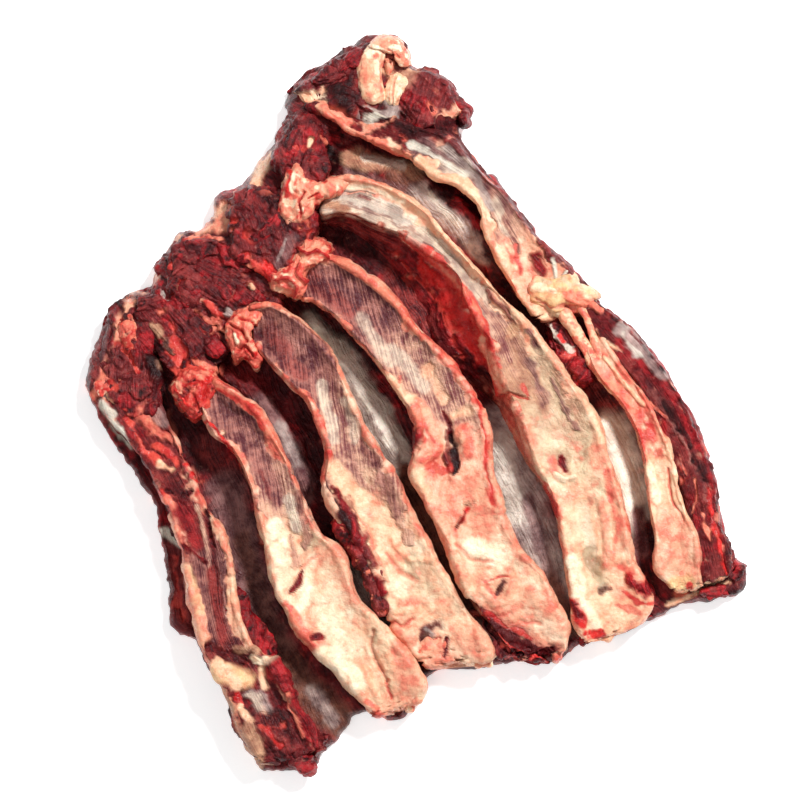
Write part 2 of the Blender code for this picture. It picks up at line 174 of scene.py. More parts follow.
def even_curve(points: object, share: np.ndarray, samples: int = 900) -> np.ndarray:
    """Evaluates the curve through points with its length evenly spent.

    Args:
        points: The points that the curve passes through.
        share: Places along its length, from 0 to 1.
        samples: How finely the length is measured.

    Returns:
        One row for each place.
    """
    fine = spline(points, np.linspace(0, 1, samples))
    run = np.concatenate([[0], np.cumsum(np.linalg.norm(np.diff(fine, axis=0), axis=1))])
    at = np.clip(share, 0, 1) * run[-1]
    return np.stack([np.interp(at, run, fine[:, k]) for k in range(fine.shape[1])], axis=1)


def smooth(share: np.ndarray) -> np.ndarray:
    """Smooth step from 0 to 1."""
    share = np.clip(share, 0, 1)
    return share * share * (3 - 2 * share)


DOT = 0.1  # length given to a line of one point, in plan steps


def gap_to_line(plan: np.ndarray, line: list[Pair]) -> tuple[np.ndarray, np.ndarray]:
    """Measures plan points against an open line of points.

    Args:
        plan: Plan points, one row each.
        line: The line's points, or one point.

    Returns:
        Distance of each point to the line in plan steps, and its share along the line.
    """
    knots = np.array(line if len(line) > 1 else [line[0], (line[0][0] + DOT, line[0][1])], float)
    runs = np.linalg.norm(np.diff(knots, axis=0), axis=1)
    nearest, share, passed = np.full(len(plan), 1e9), np.zeros(len(plan)), 0.0
    for begin, end, run in zip(knots[:-1], knots[1:], runs):
        along = np.clip((plan - begin) @ (end - begin) / run**2, 0, 1)
        gap = np.hypot(*(plan - begin - along[:, None] * (end - begin)).T)
        closer = gap < nearest
        nearest = np.where(closer, gap, nearest)
        share = np.where(closer, (passed + along * run) / runs.sum(), share)
        passed += run
    return nearest, share


class NoiseField:
    """Smooth repeatable noise in space, from a lattice of seeded random values."""

    SIDE = 32
    FINER = 2.1  # how much finer each layer is than the one before
    FAINTER = 0.5  # and its strength, as a share
    SHIFT = 0.37  # how far it is moved, as a share of the spacing

    def __init__(self, seed: int) -> None:
        """Fills the lattice from the seed."""
        self.lattice = np.random.default_rng(seed).uniform(-1, 1, (self.SIDE,) * 3)

    def at(self, points: np.ndarray, spacing: float) -> np.ndarray:
        """Reads the noise.

        Args:
            points: Real points, one row each.
            spacing: Distance between one lump and the next.

        Returns:
            Values from -1 to 1, one for each point.
        """
        scaled = points / spacing
        base = np.floor(scaled).astype(int)
        part = smooth(scaled - base)
        total = np.zeros(len(points))
        for corner in np.ndindex(2, 2, 2):
            share = np.prod(np.where(np.array(corner) == 1, part, 1 - part), axis=1)
            x, y, z = ((base + corner) % self.SIDE).T
            total += share * self.lattice[x, y, z]
        return total

    def layers(self, points: np.ndarray, spacing: float, count: int = 3) -> np.ndarray:
        """Adds finer and fainter layers of the noise."""
        return sum(
            self.at(points + self.SHIFT * k * spacing, spacing / self.FINER**k) * self.FAINTER**k
            for k in range(count)
        )

    def folds(self, points: np.ndarray, spacing: float, count: int = 3) -> np.ndarray:
        """Rounded lumps between sharp creases, from 0 in a crease to about 1."""
        bend = 0.35 * spacing * self.at(points + 0.2, spacing * 1.3)
        total = np.zeros(len(points))
        for k in range(count):
            moved = points + (0.61 * k * spacing + bend)[:, None]
            total += np.abs(self.at(moved, spacing / 2.0**k)) ** 0.7 * 0.5**k
        return total / 1.1


LUMPS = NoiseField(11)
TEARS = NoiseField(29)


# ---- Tissues and marks ----
class Kind(Enum):
    """Pattern of a tissue, as its shares of fat, membrane and stripes; muscle has none."""

    MUSCLE = (0.0, 0.0, 0.0)
    FAT = (1.0, 0.0, 0.0)
    SKIN = (0.0, 1.0, 0.0)
    STRIPE = (0.0, 0.0, 1.0)


def linear(screen: Tone) -> np.ndarray:
    """Turns a screen colour into the linear colour that a shader takes."""
    part = np.array(screen) / 255
    return np.where(part <= 0.04045, part / 12.92, ((part + 0.055) / 1.055) ** 2.4)


class Paint(Enum):
    """Tissues of the slab, and one near-black painted shade: light tone, deep tone and kind."""

    IVORY = ((254, 234, 204), (248, 208, 172), Kind.FAT)
    CREAM = ((246, 205, 168), (236, 166, 130), Kind.FAT)
    PEACH = ((235, 175, 142), (218, 124, 100), Kind.FAT)
    SALMON = ((236, 136, 108), (206, 84, 72), Kind.FAT)
    CORAL = ((222, 82, 68), (182, 36, 38), Kind.FAT)
    OCHRE = ((234, 194, 142), (218, 160, 116), Kind.FAT)
    HUSK = ((222, 198, 162), (190, 156, 126), Kind.FAT)
    BLOOD = ((222, 48, 44), (158, 18, 22), Kind.FAT)
    CRIMSON = ((178, 34, 40), (98, 10, 18), Kind.MUSCLE)
    MEAT = ((128, 36, 38), (66, 12, 18), Kind.MUSCLE)
    ROSE = ((150, 56, 54), (96, 24, 28), Kind.MUSCLE)
    MAROON = ((84, 18, 22), (42, 7, 11), Kind.MUSCLE)
    # A near-black tone used as painted shade in deep hollows and on walls that face away from the
    # light.
    BLACK = ((48, 12, 12), (22, 5, 6), Kind.MUSCLE)
    PLUM = ((180, 118, 106), (94, 42, 49), Kind.STRIPE)
    LILAC = ((222, 170, 144), (134, 74, 74), Kind.STRIPE)
    PEARL = ((238, 216, 190), (182, 152, 138), Kind.STRIPE)
    LEAN = ((158, 60, 56), (74, 16, 22), Kind.STRIPE)
    SILVER = ((250, 244, 226), (222, 206, 188), Kind.SKIN)
    SLATE = ((208, 190, 180), (142, 118, 114), Kind.SKIN)
    DUSK = ((152, 108, 104), (88, 46, 50), Kind.SKIN)
    UMBER = ((144, 92, 74), (84, 44, 38), Kind.SKIN)
    TAN = ((214, 164, 130), (166, 110, 88), Kind.SKIN)

    def __init__(self, light: Tone, deep: Tone, kind: Kind) -> None:
        """Keeps the two tones in linear light, followed by the pattern."""
        self.row = np.concatenate([linear(light), linear(deep), kind.value])


@dataclass(frozen=True)
class Mark:
    """One stroke of tissue that may stand proud or lie deep.

    Attributes:
        paint: What it is made of.
        half: Half its width in plan steps, evenly spaced along the line.
        line: Plan points that it follows, or one point.
        lift: How far it stands proud, in millimetres; less than 0 cuts in, and a cut takes painted
            shade.
        soft: Share of the half width over which it fades.
        ragged: How uneven its edge is.
        amount: How fully it covers.
    """

    paint: Paint
    half: tuple[float, ...]
    line: list[Pair]
    lift: float = 0.0
    soft: float = 0.6
    ragged: float = 0.5
    amount: float = 1.0


def traced(pairs: str) -> list[Pair]:
    """Reads listed plan points, each written as x,y."""
    return [tuple(int(part) for part in pair.split(",")) for pair in pairs.split()]


def read_marks(rows: str) -> list[Mark]:
    """Reads the listed marks from their rows.

    Args:
        rows: One mark a row: tissue, half width (several have a stroke between them), plan
            points, and what else it states. Rows that start with # are notes.

    Returns:
        The marks in order.
    """
    marks = []
    for row in (row for row in rows.splitlines() if row and row[0] != "#"):
        paint, half, *rest = row.split()
        line = traced(" ".join(word for word in rest if "=" not in word))
        stated = dict(word.split("=") for word in rest if "=" in word)
        marks.append(Mark(
            Paint[paint], tuple(float(part) for part in half.split("/")), line,
            **{key: float(value) for key, value in stated.items()},
        ))
    return marks


class Canvas:
    """Tissue of each vertex of one piece."""

    SWAY = 2.2  # how far the marks wander, in plan steps
    SWAY_SPACING = 12 * MM
    RAGGED_SPACING = 6 * MM
    BLEND = 0.30  # how raggedly one tissue of a course gives way to the next
    FRAY = 4.0  # how far a mark's edge may fray, in plan steps
    LIP_AT, LIP_WIDTH = 1.7, 0.6  # raised lip round a cut, in half widths of the mark
    LIP_RISE = 0.25  # its height, as a share of the cut's depth

    def __init__(self, points: np.ndarray, exposed: np.ndarray, base: Paint) -> None:
        """Starts with one tissue all over.

        Args:
            points: The vertices' real places.
            exposed: From 0 to 1, how far marks reach each vertex.
            base: The tissue.
        """
        self.points = points
        sway = [LUMPS.layers(points + shift, self.SWAY_SPACING) for shift in (0.31, 0.77)]
        self.plan = PLAN.seen(points) + self.SWAY * np.stack(sway, axis=1)
        self.exposed = exposed
        self.ragged = TEARS.layers(points, self.RAGGED_SPACING)
        self.rows = np.tile(base.row, (len(points), 1))
        self.lift = np.zeros(len(points))
        # Painted shade: how far each vertex is darkened for lying in creases or cuts.
        self.crease_shade = np.zeros(len(points))

    @property
    def fat(self) -> np.ndarray:
        """Share of fat at each vertex."""
        return self.rows[:, 6]

    @property
    def muscle(self) -> np.ndarray:
        """Share of bare muscle at each vertex."""
        return np.clip(1 - self.rows[:, 6:].sum(axis=1), 0, 1)

    def lay(self, paint: Paint, weight: np.ndarray) -> None:
        """Lays a tissue over what is there, as fully as the weight says, from 0 to 1."""
        self.rows += (paint.row - self.rows) * weight[:, None]

    def lay_course(self, course: tuple[Paint, ...], along: np.ndarray, weight: np.ndarray) -> None:
        """Lays tissues that follow one another along the piece.

        Args:
            course: The tissues, evenly spaced.
            along: Share along the piece.
            weight: From 0 to 1, how fully at each vertex.
        """
        at = np.clip(along * (len(course) - 1) + self.BLEND * self.ragged, 0, len(course) - 1)
        for index, paint in enumerate(course):
            after = smooth(at - index + 1) if index else 1.0
            self.lay(paint, weight * after)

    def mottle(
        self, paint: Paint, spacing: float, share: float, weight: np.ndarray, soft: float = 0.22
    ) -> None:
        """Lays uneven patches of a tissue.

        Args:
            paint: What is laid.
            spacing: Distance between one patch and the next.
            share: Roughly how much of the surface they cover.
            weight: From 0 to 1, how fully at each vertex.
            soft: How softly a patch ends.
        """
        patch = TEARS.layers(self.points + 0.31 * list(Paint).index(paint), spacing)
        self.lay(paint, weight * smooth((patch + 1.1 * share - 0.55) / soft))

    def apply(self, piece: str) -> None:
        """Lays the marks of a piece in order.

        Args:
            piece: Its name.
        """
        for mark in read_marks(MARKS.get(piece, "")):
            line = np.array(mark.line, float)
            margin = max(mark.half) * 2.5 + self.FRAY
            low, high = line.min(0) - margin, line.max(0) + margin
            near = np.all((self.plan > low) & (self.plan < high), axis=1)
            index = np.nonzero(near & (self.exposed > 0.01))[0]
            gap, share = gap_to_line(self.plan[index], mark.line)
            half = level_at(mark.half, share)
            gap = gap + self.ragged[index] * mark.ragged * np.minimum(self.FRAY, 0.5 * half)
            weight = smooth((half - gap) / (half * mark.soft)) * self.exposed[index]
            cover = (weight * mark.amount)[:, None]
            self.rows[index] += (mark.paint.row - self.rows[index]) * cover
            bell = np.clip(1 - (gap / half) ** 2, 0, 1) * self.exposed[index]
            lips = np.exp(-(((gap / half - self.LIP_AT) / self.LIP_WIDTH) ** 2))
            lips *= max(0.0, -mark.lift) * self.LIP_RISE
            self.lift[index] += (mark.lift * bell + lips * self.exposed[index]) * MM
            # A cut also takes painted shade, deepest along its middle.
            if mark.lift < 0:
                self.crease_shade[index] = np.maximum(self.crease_shade[index], bell * min(1, -mark.lift / 2))


Cover = tuple[tuple[Paint, float], ...]  # tissues in uneven patches, and the share each covers


# ---- Mesh work ----
SAME_PLACE = 0.001 * MM  # vertices nearer than this are joined


class Shell:
    """A mesh under work: its arrays in, its arrays out."""

    BULGE, BULGE_SPACING = 1.1, 22 * MM  # broad swellings of every tissue, in millimetres
    SHELF, SHELF_SPACING = 1.5, 16 * MM  # torn ledges of muscle, as a share of its grit
    TORN, TORN_SPACING = 0.14, 5 * MM  # and its fine tears
    SHELVES = 2.4  # ledges for each unit of noise
    DOWN, OVER = 0.45, 0.75  # how the ledges are stretched along the slab's diagonals
    RISER, RISER_SHARE = 0.3, 0.25  # where a ledge's riser starts, and how much it takes
    LIP, LIP_COVER = 0.60, 0.5  # where the painted highlight of its pale lip lies, and how fully that covers
    UNDERCUT_SHADE = 0.28  # where the painted shade line under it lies
    LINE = 0.16  # half width of the painted highlight lip and of the painted shade line, as a share of the ledge
    FOLD_DEPTH, FOLD_FADE = 0.36, 0.38  # folds of fat deeper than this darken, as painted shade

    def __init__(self, name: str, bm: bmesh.types.BMesh) -> None:
        """Takes over a bmesh.

        Args:
            name: Name of the piece.
            bm: Its mesh, freed here.
        """
        self.name = name
        self.mesh = bpy.data.meshes.new(name)
        bm.to_mesh(self.mesh)
        bm.free()

    @property
    def count(self) -> int:
        """Number of vertices."""
        return len(self.mesh.vertices)

    @property
    def points(self) -> np.ndarray:
        """The vertices' places, one row each."""
        flat = np.empty(self.count * 3, np.float32)
        self.mesh.vertices.foreach_get("co", flat)
        return flat.reshape(-1, 3).astype(float)

    @points.setter
    def points(self, places: np.ndarray) -> None:
        """Moves the vertices."""
        self.mesh.vertices.foreach_set("co", places.astype(np.float32).ravel())
        self.mesh.update()

    @property
    def normals(self) -> np.ndarray:
        """The vertices' normals, one row each."""
        flat = np.empty(self.count * 3, np.float32)
        self.mesh.vertex_normals.foreach_get("vector", flat)
        return flat.reshape(-1, 3).astype(float)

    def keep(self, label: str, values: np.ndarray) -> None:
        """Stores one number, or three, for each vertex under a label."""
        kind, part = ("FLOAT", "value") if values.ndim == 1 else ("FLOAT_VECTOR", "vector")
        layer = self.mesh.attributes.new(label, kind, "POINT")
        layer.data.foreach_set(part, values.astype(np.float32).ravel())

    def take(self, label: str) -> np.ndarray:
        """Reads back and removes the numbers that keep() stored."""
        layer = self.mesh.attributes[label]
        flat = np.empty(self.count, np.float32)
        layer.data.foreach_get("value", flat)
        self.mesh.attributes.remove(layer)
        return flat.astype(float)

    def close(self, tube: bool) -> None:
        """Turns the faces outwards, after closing what a tube leaves open.

        Args:
            tube: Whether there is a seam to join and there are two ends to fill.
        """
        bm = bmesh.new()
        bm.from_mesh(self.mesh)
        if tube:
            bmesh.ops.remove_doubles(bm, verts=bm.verts, dist=SAME_PLACE)
            bmesh.ops.holes_fill(bm, edges=bm.edges, sides=0)
        bmesh.ops.recalc_face_normals(bm, faces=bm.faces)
        bm.to_mesh(self.mesh)
        bm.free()

    def roughen(
        self, canvas: Canvas, grit: float, wrinkle: float, spacing: float = 15 * MM
    ) -> None:
        """Adds the relief of each tissue and what the marks lift; the underside stays put.

        Args:
            canvas: Tissue of the vertices, which gets painted shade in creases, folds and under
                ledges, and a painted highlight along the ledges' top edges.
            grit: Depth of the torn relief of muscle, in millimetres.
            wrinkle: Depth of the wrinkles of fat, in millimetres.
            spacing: Distance between one wrinkle and the next.
        """
        points = self.points
        x, y, z = points.T
        bulge = self.BULGE * LUMPS.layers(points, self.BULGE_SPACING, 2)
        slanted = np.stack([(x - y) * self.DOWN, (x + y) * self.OVER, z], axis=1)
        level = self.SHELVES * LUMPS.layers(slanted + 0.4, self.SHELF_SPACING)
        part = level - np.floor(level)
        riser = smooth((part - self.RISER) / self.RISER_SHARE)
        shelf = (np.floor(level) + riser) / self.SHELVES
        torn = TEARS.layers(points * (1, 0.8, 1), self.TORN_SPACING)
        folded = TEARS.folds(points * (1, 0.75, 1), spacing)
        rough = self.SHELF * shelf + self.TORN * torn
        relief = bulge + canvas.muscle * grit * rough + canvas.fat * wrinkle * (folded - 0.5)
        # Painted shade: a dark line under each ledge, the hollows of the torn relief and the deep
        # folds of fat darken.
        undercut_shade = np.clip(1 - np.abs(part - self.UNDERCUT_SHADE) / self.LINE, 0, 1)
        # Painted highlight: a lighter rose lip along the top edge of each ledge of muscle.
        lip = np.clip(1 - np.abs(part - self.LIP) / self.LINE, 0, 1) * min(1.0, grit / 3)
        canvas.lay(Paint.ROSE, canvas.muscle * self.LIP_COVER * lip)
        torn_shade = canvas.muscle * min(1.0, grit / 2)
        torn_shade *= 0.7 * undercut_shade + 0.6 * smooth(-0.2 - torn)
        fold_shade = canvas.fat * min(1.0, wrinkle / 1.5)
        fold_shade *= smooth((self.FOLD_DEPTH - folded) / self.FOLD_FADE)
        canvas.crease_shade = np.clip(canvas.crease_shade + torn_shade + fold_shade, 0, 1)
        above = smooth(z / (3 * ROOT))
        self.points = points + self.normals * (relief * MM * above + canvas.lift)[:, None]

    def dress(self, canvas: Canvas, fibre: np.ndarray) -> None:
        """Stores what the materials read.

        Args:
            canvas: Tissue of the vertices.
            fibre: Distance across and along the muscle fibres, and height, at each vertex.
        """
        light, deep, kind = np.split(canvas.rows, 3, axis=1)
        carried = {"light_tone": light, "deep_tone": deep, "kind": kind, "fibre": fibre}
        for label, values in carried.items():
            self.keep(label, values)
        # The painted shade goes to the material as its own attribute.
        self.keep("crease_shade", canvas.crease_shade)

    def finish(self, *materials: bpy.types.Material) -> bpy.types.Object:
        """Makes the piece: riding on the slab and standing for its solid.

        Args:
            materials: The piece's materials; faces of the first are shaded smooth.

        Returns:
            The object.
        """
        for material in materials:
            self.mesh.materials.append(material)
        slots = np.empty(len(self.mesh.polygons), np.int32)
        self.mesh.polygons.foreach_get("material_index", slots)
        self.mesh.polygons.foreach_set("use_smooth", slots == 0)
        piece = bpy.data.objects.new(self.name, self.mesh)
        bpy.context.scene.collection.objects.link(piece)
        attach(piece, "root")
        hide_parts(NODE)
        LOG.info("%s: %d faces", self.name, len(self.mesh.polygons))
        return piece


def grid_shell(name: str, across: int, along: int) -> tuple[Shell, np.ndarray, np.ndarray]:
    """Makes a grid whose vertices are then placed by their share across and along.

    Args:
        name: Name of the piece.
        across: Cells across.
        along: Cells along.

    Returns:
        The shell, and each vertex's share across and along, from 0 to 1.
    """
    bm = bmesh.new()
    bmesh.ops.create_grid(bm, x_segments=across, y_segments=along, size=0.5)
    shell = Shell(name, bm)
    flat = shell.points
    return shell, flat[:, 0] + 0.5, flat[:, 1] + 0.5


# ---- The sheet ----
@dataclass
class Sheet:
    """The thin sheet that joins the fingers, fitted between its four traced edges.

    Attributes:
        head, right, tail, left: The edges in plan steps.
        swells: Plan line, half width in plan steps and rise of each low swell.
        floor: Thickness at the bottom of a channel.
        edge: Height at which the rounded edge starts.
        edge_round: How far in from the rim the full thickness is reached.
        wobble: How far the rim wanders, in plan steps.
        wobble_reach: How far in from the rim it does so.
        cells: Grid cells across and along.
        grit: Depth of the torn relief of bare muscle, in millimetres.
        wrinkle: Depth of the wrinkles of fat, in millimetres.
        patch_spacing: Distance between one patch and the next.
        patches: Tissues that lie over the meat in uneven patches, with the share each covers.
    """

    head: list[Pair]
    right: list[Pair]
    tail: list[Pair]
    left: list[Pair]
    swells: list[tuple[list[Pair], float, float]]
    floor: float = 12 * MM
    edge: float = 3.5 * MM
    edge_round: float = 7 * MM
    wobble: float = 2.6
    wobble_reach: float = 14 * MM
    cells: tuple[int, int] = (300, 310)
    grit: float = 1.5
    wrinkle: float = 1.0
    patch_spacing: float = 12 * MM
    patches: Cover = (
        (Paint.MAROON, 0.35), (Paint.ROSE, 0.2), (Paint.CRIMSON, 0.3), (Paint.SALMON, 0.03),
    )

    def plan_points(self, across: np.ndarray, along: np.ndarray) -> np.ndarray:
        """Spreads the grid between the four edges.

        Args:
            across: Share from left to right.
            along: Share from tail to head.

        Returns:
            Plan points.
        """
        tail, head = even_curve(self.tail[::-1], across), even_curve(self.head, across)
        left, right = even_curve(self.left, along), even_curve(self.right[::-1], along)
        u, v = across[:, None], along[:, None]
        corners = (
            (1 - u) * (1 - v) * np.array(self.left[0]) + u * (1 - v) * np.array(self.tail[0])
            + (1 - u) * v * np.array(self.head[0]) + u * v * np.array(self.right[0])
        )
        return (1 - v) * tail + v * head + (1 - u) * left + u * right - corners

    def height(self, plan: np.ndarray, inset: np.ndarray) -> np.ndarray:
        """Height of the top.

        Args:
            plan: Plan points.
            inset: Their distance in from the rim.

        Returns:
            One height for each point.
        """
        height = np.full(len(plan), self.floor)
        for line, half, rise in self.swells:
            near = smooth(1 - gap_to_line(plan, line)[0] / half)
            height = np.maximum(height, self.floor + rise * near)
        round_off = np.sqrt(np.clip(1 - (1 - np.clip(inset / self.edge_round, 0, 1)) ** 2, 0, 1))
        return self.edge + (height - self.edge) * round_off

    def build(self, meat: bpy.types.Material, under: bpy.types.Material) -> bpy.types.Object:
        """Builds the sheet with its flat underside.

        Args:
            meat: Material of the top and the edges.
            under: Material of the underside.

        Returns:
            The object.
        """
        shell, across, along = grid_shell("rib_sheet", *self.cells)
        plan = self.plan_points(across, along)
        inset = np.minimum.reduce([across, 1 - across, along, 1 - along]) * PLAN.width
        near_rim = 1 - smooth(inset / self.wobble_reach)
        flat = np.stack([plan[:, 0], plan[:, 1], 0 * inset], axis=1) * PLAN.unit
        sway = [self.wobble * LUMPS.layers(flat + shift, 8 * MM) for shift in (0.1, 0.5)]
        plan = plan + np.stack(sway, axis=1) * near_rim[:, None]
        top = PLAN.place(plan, self.height(plan, inset))
        shell.points = top
        canvas = Canvas(top, smooth(inset / (1.5 * MM) + 0.6), Paint.MEAT)
        for paint, share in self.patches:
            canvas.mottle(paint, self.patch_spacing, share, np.ones(len(top)))
        canvas.apply(shell.name)
        shell.roughen(canvas, self.grit, self.wrinkle)
        shell.dress(canvas, np.stack([across * PLAN.width, along * PLAN.width, top[:, 2]], axis=1))
        bm = bmesh.new()
        bm.from_mesh(shell.mesh)
        rim = [edge for edge in bm.edges if edge.is_boundary]
        lowered = bmesh.ops.extrude_edge_only(bm, edges=rim)["geom"]
        for vert in (item for item in lowered if isinstance(item, bmesh.types.BMVert)):
            vert.co.z = 0.0
        loop = [edge for edge in bm.edges if edge.is_boundary]
        underside = bmesh.ops.contextual_create(bm, geom=loop)["faces"]
        bmesh.ops.recalc_face_normals(bm, faces=bm.faces)
        for face in bmesh.ops.triangulate(bm, faces=underside)["faces"]:
            face.material_index = 1
        bm.to_mesh(shell.mesh)
        bm.free()
        return shell.finish(meat, under)


# ---- Fingers ----
# Closed cross-section: side (-1 left rim, +1 right rim) and share of the finger's height.
SECTION = [
    (0.00, 0.0), (-0.78, 0.0), (-0.96, 0.22), (-0.94, 0.52), (-1.00, 0.80), (-0.90, 0.98),
    (-0.68, 0.97), (-0.34, 0.95), (0.00, 0.94), (0.34, 0.95), (0.68, 0.97), (0.90, 0.98),
    (1.00, 0.80), (0.94, 0.52), (0.96, 0.22), (0.78, 0.0), (0.00, 0.0),
]  # fmt: skip
HIDDEN_SHARE = 0.05  # share of the grid spent on each half of the section's flat foot
HIDDEN_SPAN = 1 / 16  # share of the section that this foot takes on each side


@dataclass
class Finger:
    """One long finger of meat, swept between its two traced rims.

    Attributes:
        name: Name of the piece.
        stations: Left and right rim in turn, from head to tail, in plan steps.
        heights: Height of the rims along the finger.
        top: Tissues of the middle along the finger.
        left, right: Tissues of the two rims along the finger.
        left_wall, right_wall: Tissues of the two walls along the finger.
        rims: Width of the left and of the right rim's tissue, in plan steps.
        dip: How far the top sinks between the rims, as a share of the height.
        lean: How far the left wall's foot stands out along the finger, in plan steps.
        patches: Tissues that lie over the fat in uneven patches, with the share each covers.
        wobble: How far the rims wander, in plan steps.
        grain: Whether the fibres run along the finger, or straight down the slab.
        slant: How far they lean where they run down the slab.
        grit: Depth of the torn relief of bare muscle, in millimetres.
        wrinkle: Depth of the wrinkles of fat, in millimetres.
        reach: How far down the walls the marks reach, as a share of the height.
    """

    name: str
    stations: list[Pair]
    heights: tuple[float, ...]
    top: tuple[Paint, ...]
    left: tuple[Paint, ...]
    right: tuple[Paint, ...]
    left_wall: tuple[Paint, ...] = (Paint.MEAT,)
    right_wall: tuple[Paint, ...] = (Paint.MEAT,)
    rims: tuple[float, float] = (6, 6)
    dip: tuple[float, ...] = (0.12,)
    lean: tuple[float, ...] = (0.0,)
    patches: Cover = (
        (Paint.IVORY, 0.34), (Paint.PEACH, 0.36), (Paint.SALMON, 0.16), (Paint.HUSK, 0.16),
    )
    wobble: float = 2.4
    grain: bool = False
    slant: float = 0.12
    grit: float = 0.8
    wrinkle: float = 2.2
    reach: float = 0.5

    ring_step = 0.95 * MM  # distance between one ring of vertices and the next
    around = 132  # cells round the section
    girth = 0.16  # distance round the section, as the fibres count it
    tear = 6 * MM  # how uneven the tail end is
    lean_patches = (
        (Paint.MAROON, 0.34), (Paint.ROSE, 0.26), (Paint.CORAL, 0.06), (Paint.CRIMSON, 0.3),
    )
    patch_spacing = 18 * MM
    top_from = 0.66  # share of the height at which the walls give way to the top
    rim_spacing = 14 * MM  # distance over which the rims' tissue grows wider and narrower
    rim_fray = 4.0  # how ragged its inner edge is, in plan steps
    rim_fade = 6.0  # over how many plan steps it fades
    rim_lump = 0.7 * MM  # height of the lumps along the rims
    lump_spacing = 13 * MM
    end_round = 6 * MM  # distance over which an end is rounded
    end_scale = 0.55  # how narrow the very end is, as a share of the width

    def sweep(self, around: np.ndarray, along: np.ndarray, length: float) -> dict[str, np.ndarray]:
        """Places the grid on the finger.

        Args:
            around: Share round the section.
            along: Share from head to tail.
            length: Length of the finger.

        Returns:
            Arrays by name: points, side, level and half, the half width in plan steps.
        """
        spent = [0, HIDDEN_SHARE, 1 - HIDDEN_SHARE, 1]
        round_share = np.interp(around, spent, [0, HIDDEN_SPAN, 1 - HIDDEN_SPAN, 1])
        side, level = spline(SECTION, round_share).T
        level = np.clip(level, 0, 1)
        run = np.stack([along * length, side * 0.3 * MM, 0 * along], axis=1)
        tear = self.tear * LUMPS.layers(np.stack([side * 0.014, along, along * 0], 1), 5 * MM)
        from_end = np.minimum(along, 1 - along) * length + tear * (along > 0.5)
        cap = np.sqrt(np.clip(1 - (1 - np.clip(from_end / self.end_round, 0, 1)) ** 2, 0, 1))
        cap *= smooth(np.minimum(along, 1 - along) * length / (0.4 * self.end_round) + 0.2)
        width = self.end_scale + (1 - self.end_scale) * cap
        crest = spline(self.heights, along)[:, 0] * (0.55 + 0.45 * cap)
        bowl = 1 - np.clip(np.abs(side) / 0.85, 0, 1) ** 2
        hollow = level_at(self.dip, along) * crest * bowl * smooth((level - 0.8) / 0.12)
        height = ROOT + (crest - ROOT) * level - hollow
        foot = level_at(self.lean, along) * np.clip(1 - level / 0.8, 0, 1)
        foot *= smooth((-side - 0.3) / 0.4)
        left, right = spline(self.stations[::2], along), spline(self.stations[1::2], along)
        centre, half = (left + right) / 2, (right - left) / 2
        reach = np.maximum(np.linalg.norm(half, axis=1), 1e-6)
        outward = half / reach[:, None]
        wander = self.wobble * LUMPS.layers(run + np.sign(side)[:, None] * 0.1, 26 * MM, 2)
        wander *= np.abs(side) ** 2 * np.sign(side) * (0.4 + 0.6 * level)
        plan = centre + half * (side * width)[:, None] + outward * (wander - foot)[:, None]
        return {"points": PLAN.place(plan, height), "side": side, "level": level, "half": reach}

    def paint(self, canvas: Canvas, form: dict[str, np.ndarray], along: np.ndarray) -> None:
        """Lays the tissues that follow the finger's own shape.

        Args:
            canvas: The finger's canvas.
            form: What sweep() gave.
            along: Share from head to tail.
        """
        side, level = form["side"], form["level"]
        top = smooth((level - self.top_from + 0.05 * canvas.ragged) / 0.12)
        canvas.lay_course(self.top, along, top)
        rims = ((self.left, self.left_wall, -1, 0), (self.right, self.right_wall, 1, 1))
        for rim, wall, sign, which in rims:
            here = smooth(side * sign / 0.1)
            canvas.lay_course(wall, along, here * (1 - top))
            inset = (1 - np.abs(side)) * form["half"]
            vary = 1 + 0.9 * LUMPS.layers(canvas.points + which, self.rim_spacing)
            wide = self.rims[which] * np.clip(vary, 0.25, 2.0) + self.rim_fray * canvas.ragged
            edge = smooth((wide - inset) / self.rim_fade + 0.2)
            canvas.lay_course(rim, along, here * edge * top)
            lumps = LUMPS.layers(canvas.points - which, self.lump_spacing, 2)
            canvas.lift += here * edge * top * lumps * self.rim_lump
        for paint, share in self.lean_patches:
            canvas.mottle(paint, self.patch_spacing / 2, share, canvas.muscle * 0.8, 0.4)
        for paint, share in self.patches:
            canvas.mottle(paint, self.patch_spacing, share, canvas.fat * top * 0.65, 0.8)
            canvas.mottle(paint, self.patch_spacing / 3, share * 0.8, canvas.fat * 0.5, 0.7)

    def build(self, meat: bpy.types.Material) -> bpy.types.Object:
        """Builds the finger.

        Args:
            meat: Its material.

        Returns:
            The object.
        """
        middle = np.array(self.stations, float).reshape(-1, 2, 2).mean(axis=1)
        length = np.linalg.norm(np.diff(middle, axis=0), axis=1).sum() * PLAN.unit
        shell, around, along = grid_shell(self.name, self.around, int(length / self.ring_step))
        shell.points = self.sweep(around, along, length)["points"]
        shell.keep("around", around)
        shell.keep("along", along)
        shell.close(tube=True)
        around, along = shell.take("around"), shell.take("along")
        form = self.sweep(around, along, length)
        points, level = form["points"], form["level"]
        canvas = Canvas(points, smooth((level - self.reach) / 0.2), self.top[0])
        self.paint(canvas, form, along)
        canvas.apply(self.name)
        shell.roughen(canvas, self.grit, self.wrinkle)
        if self.grain:
            fibre = np.stack([around * self.girth, along * length, 0 * along], axis=1)
        else:
            fibre = points * (1, 1, 0.3)
            fibre[:, 0] += self.slant * points[:, 1]
        shell.dress(canvas, fibre)
        return shell.finish(meat)


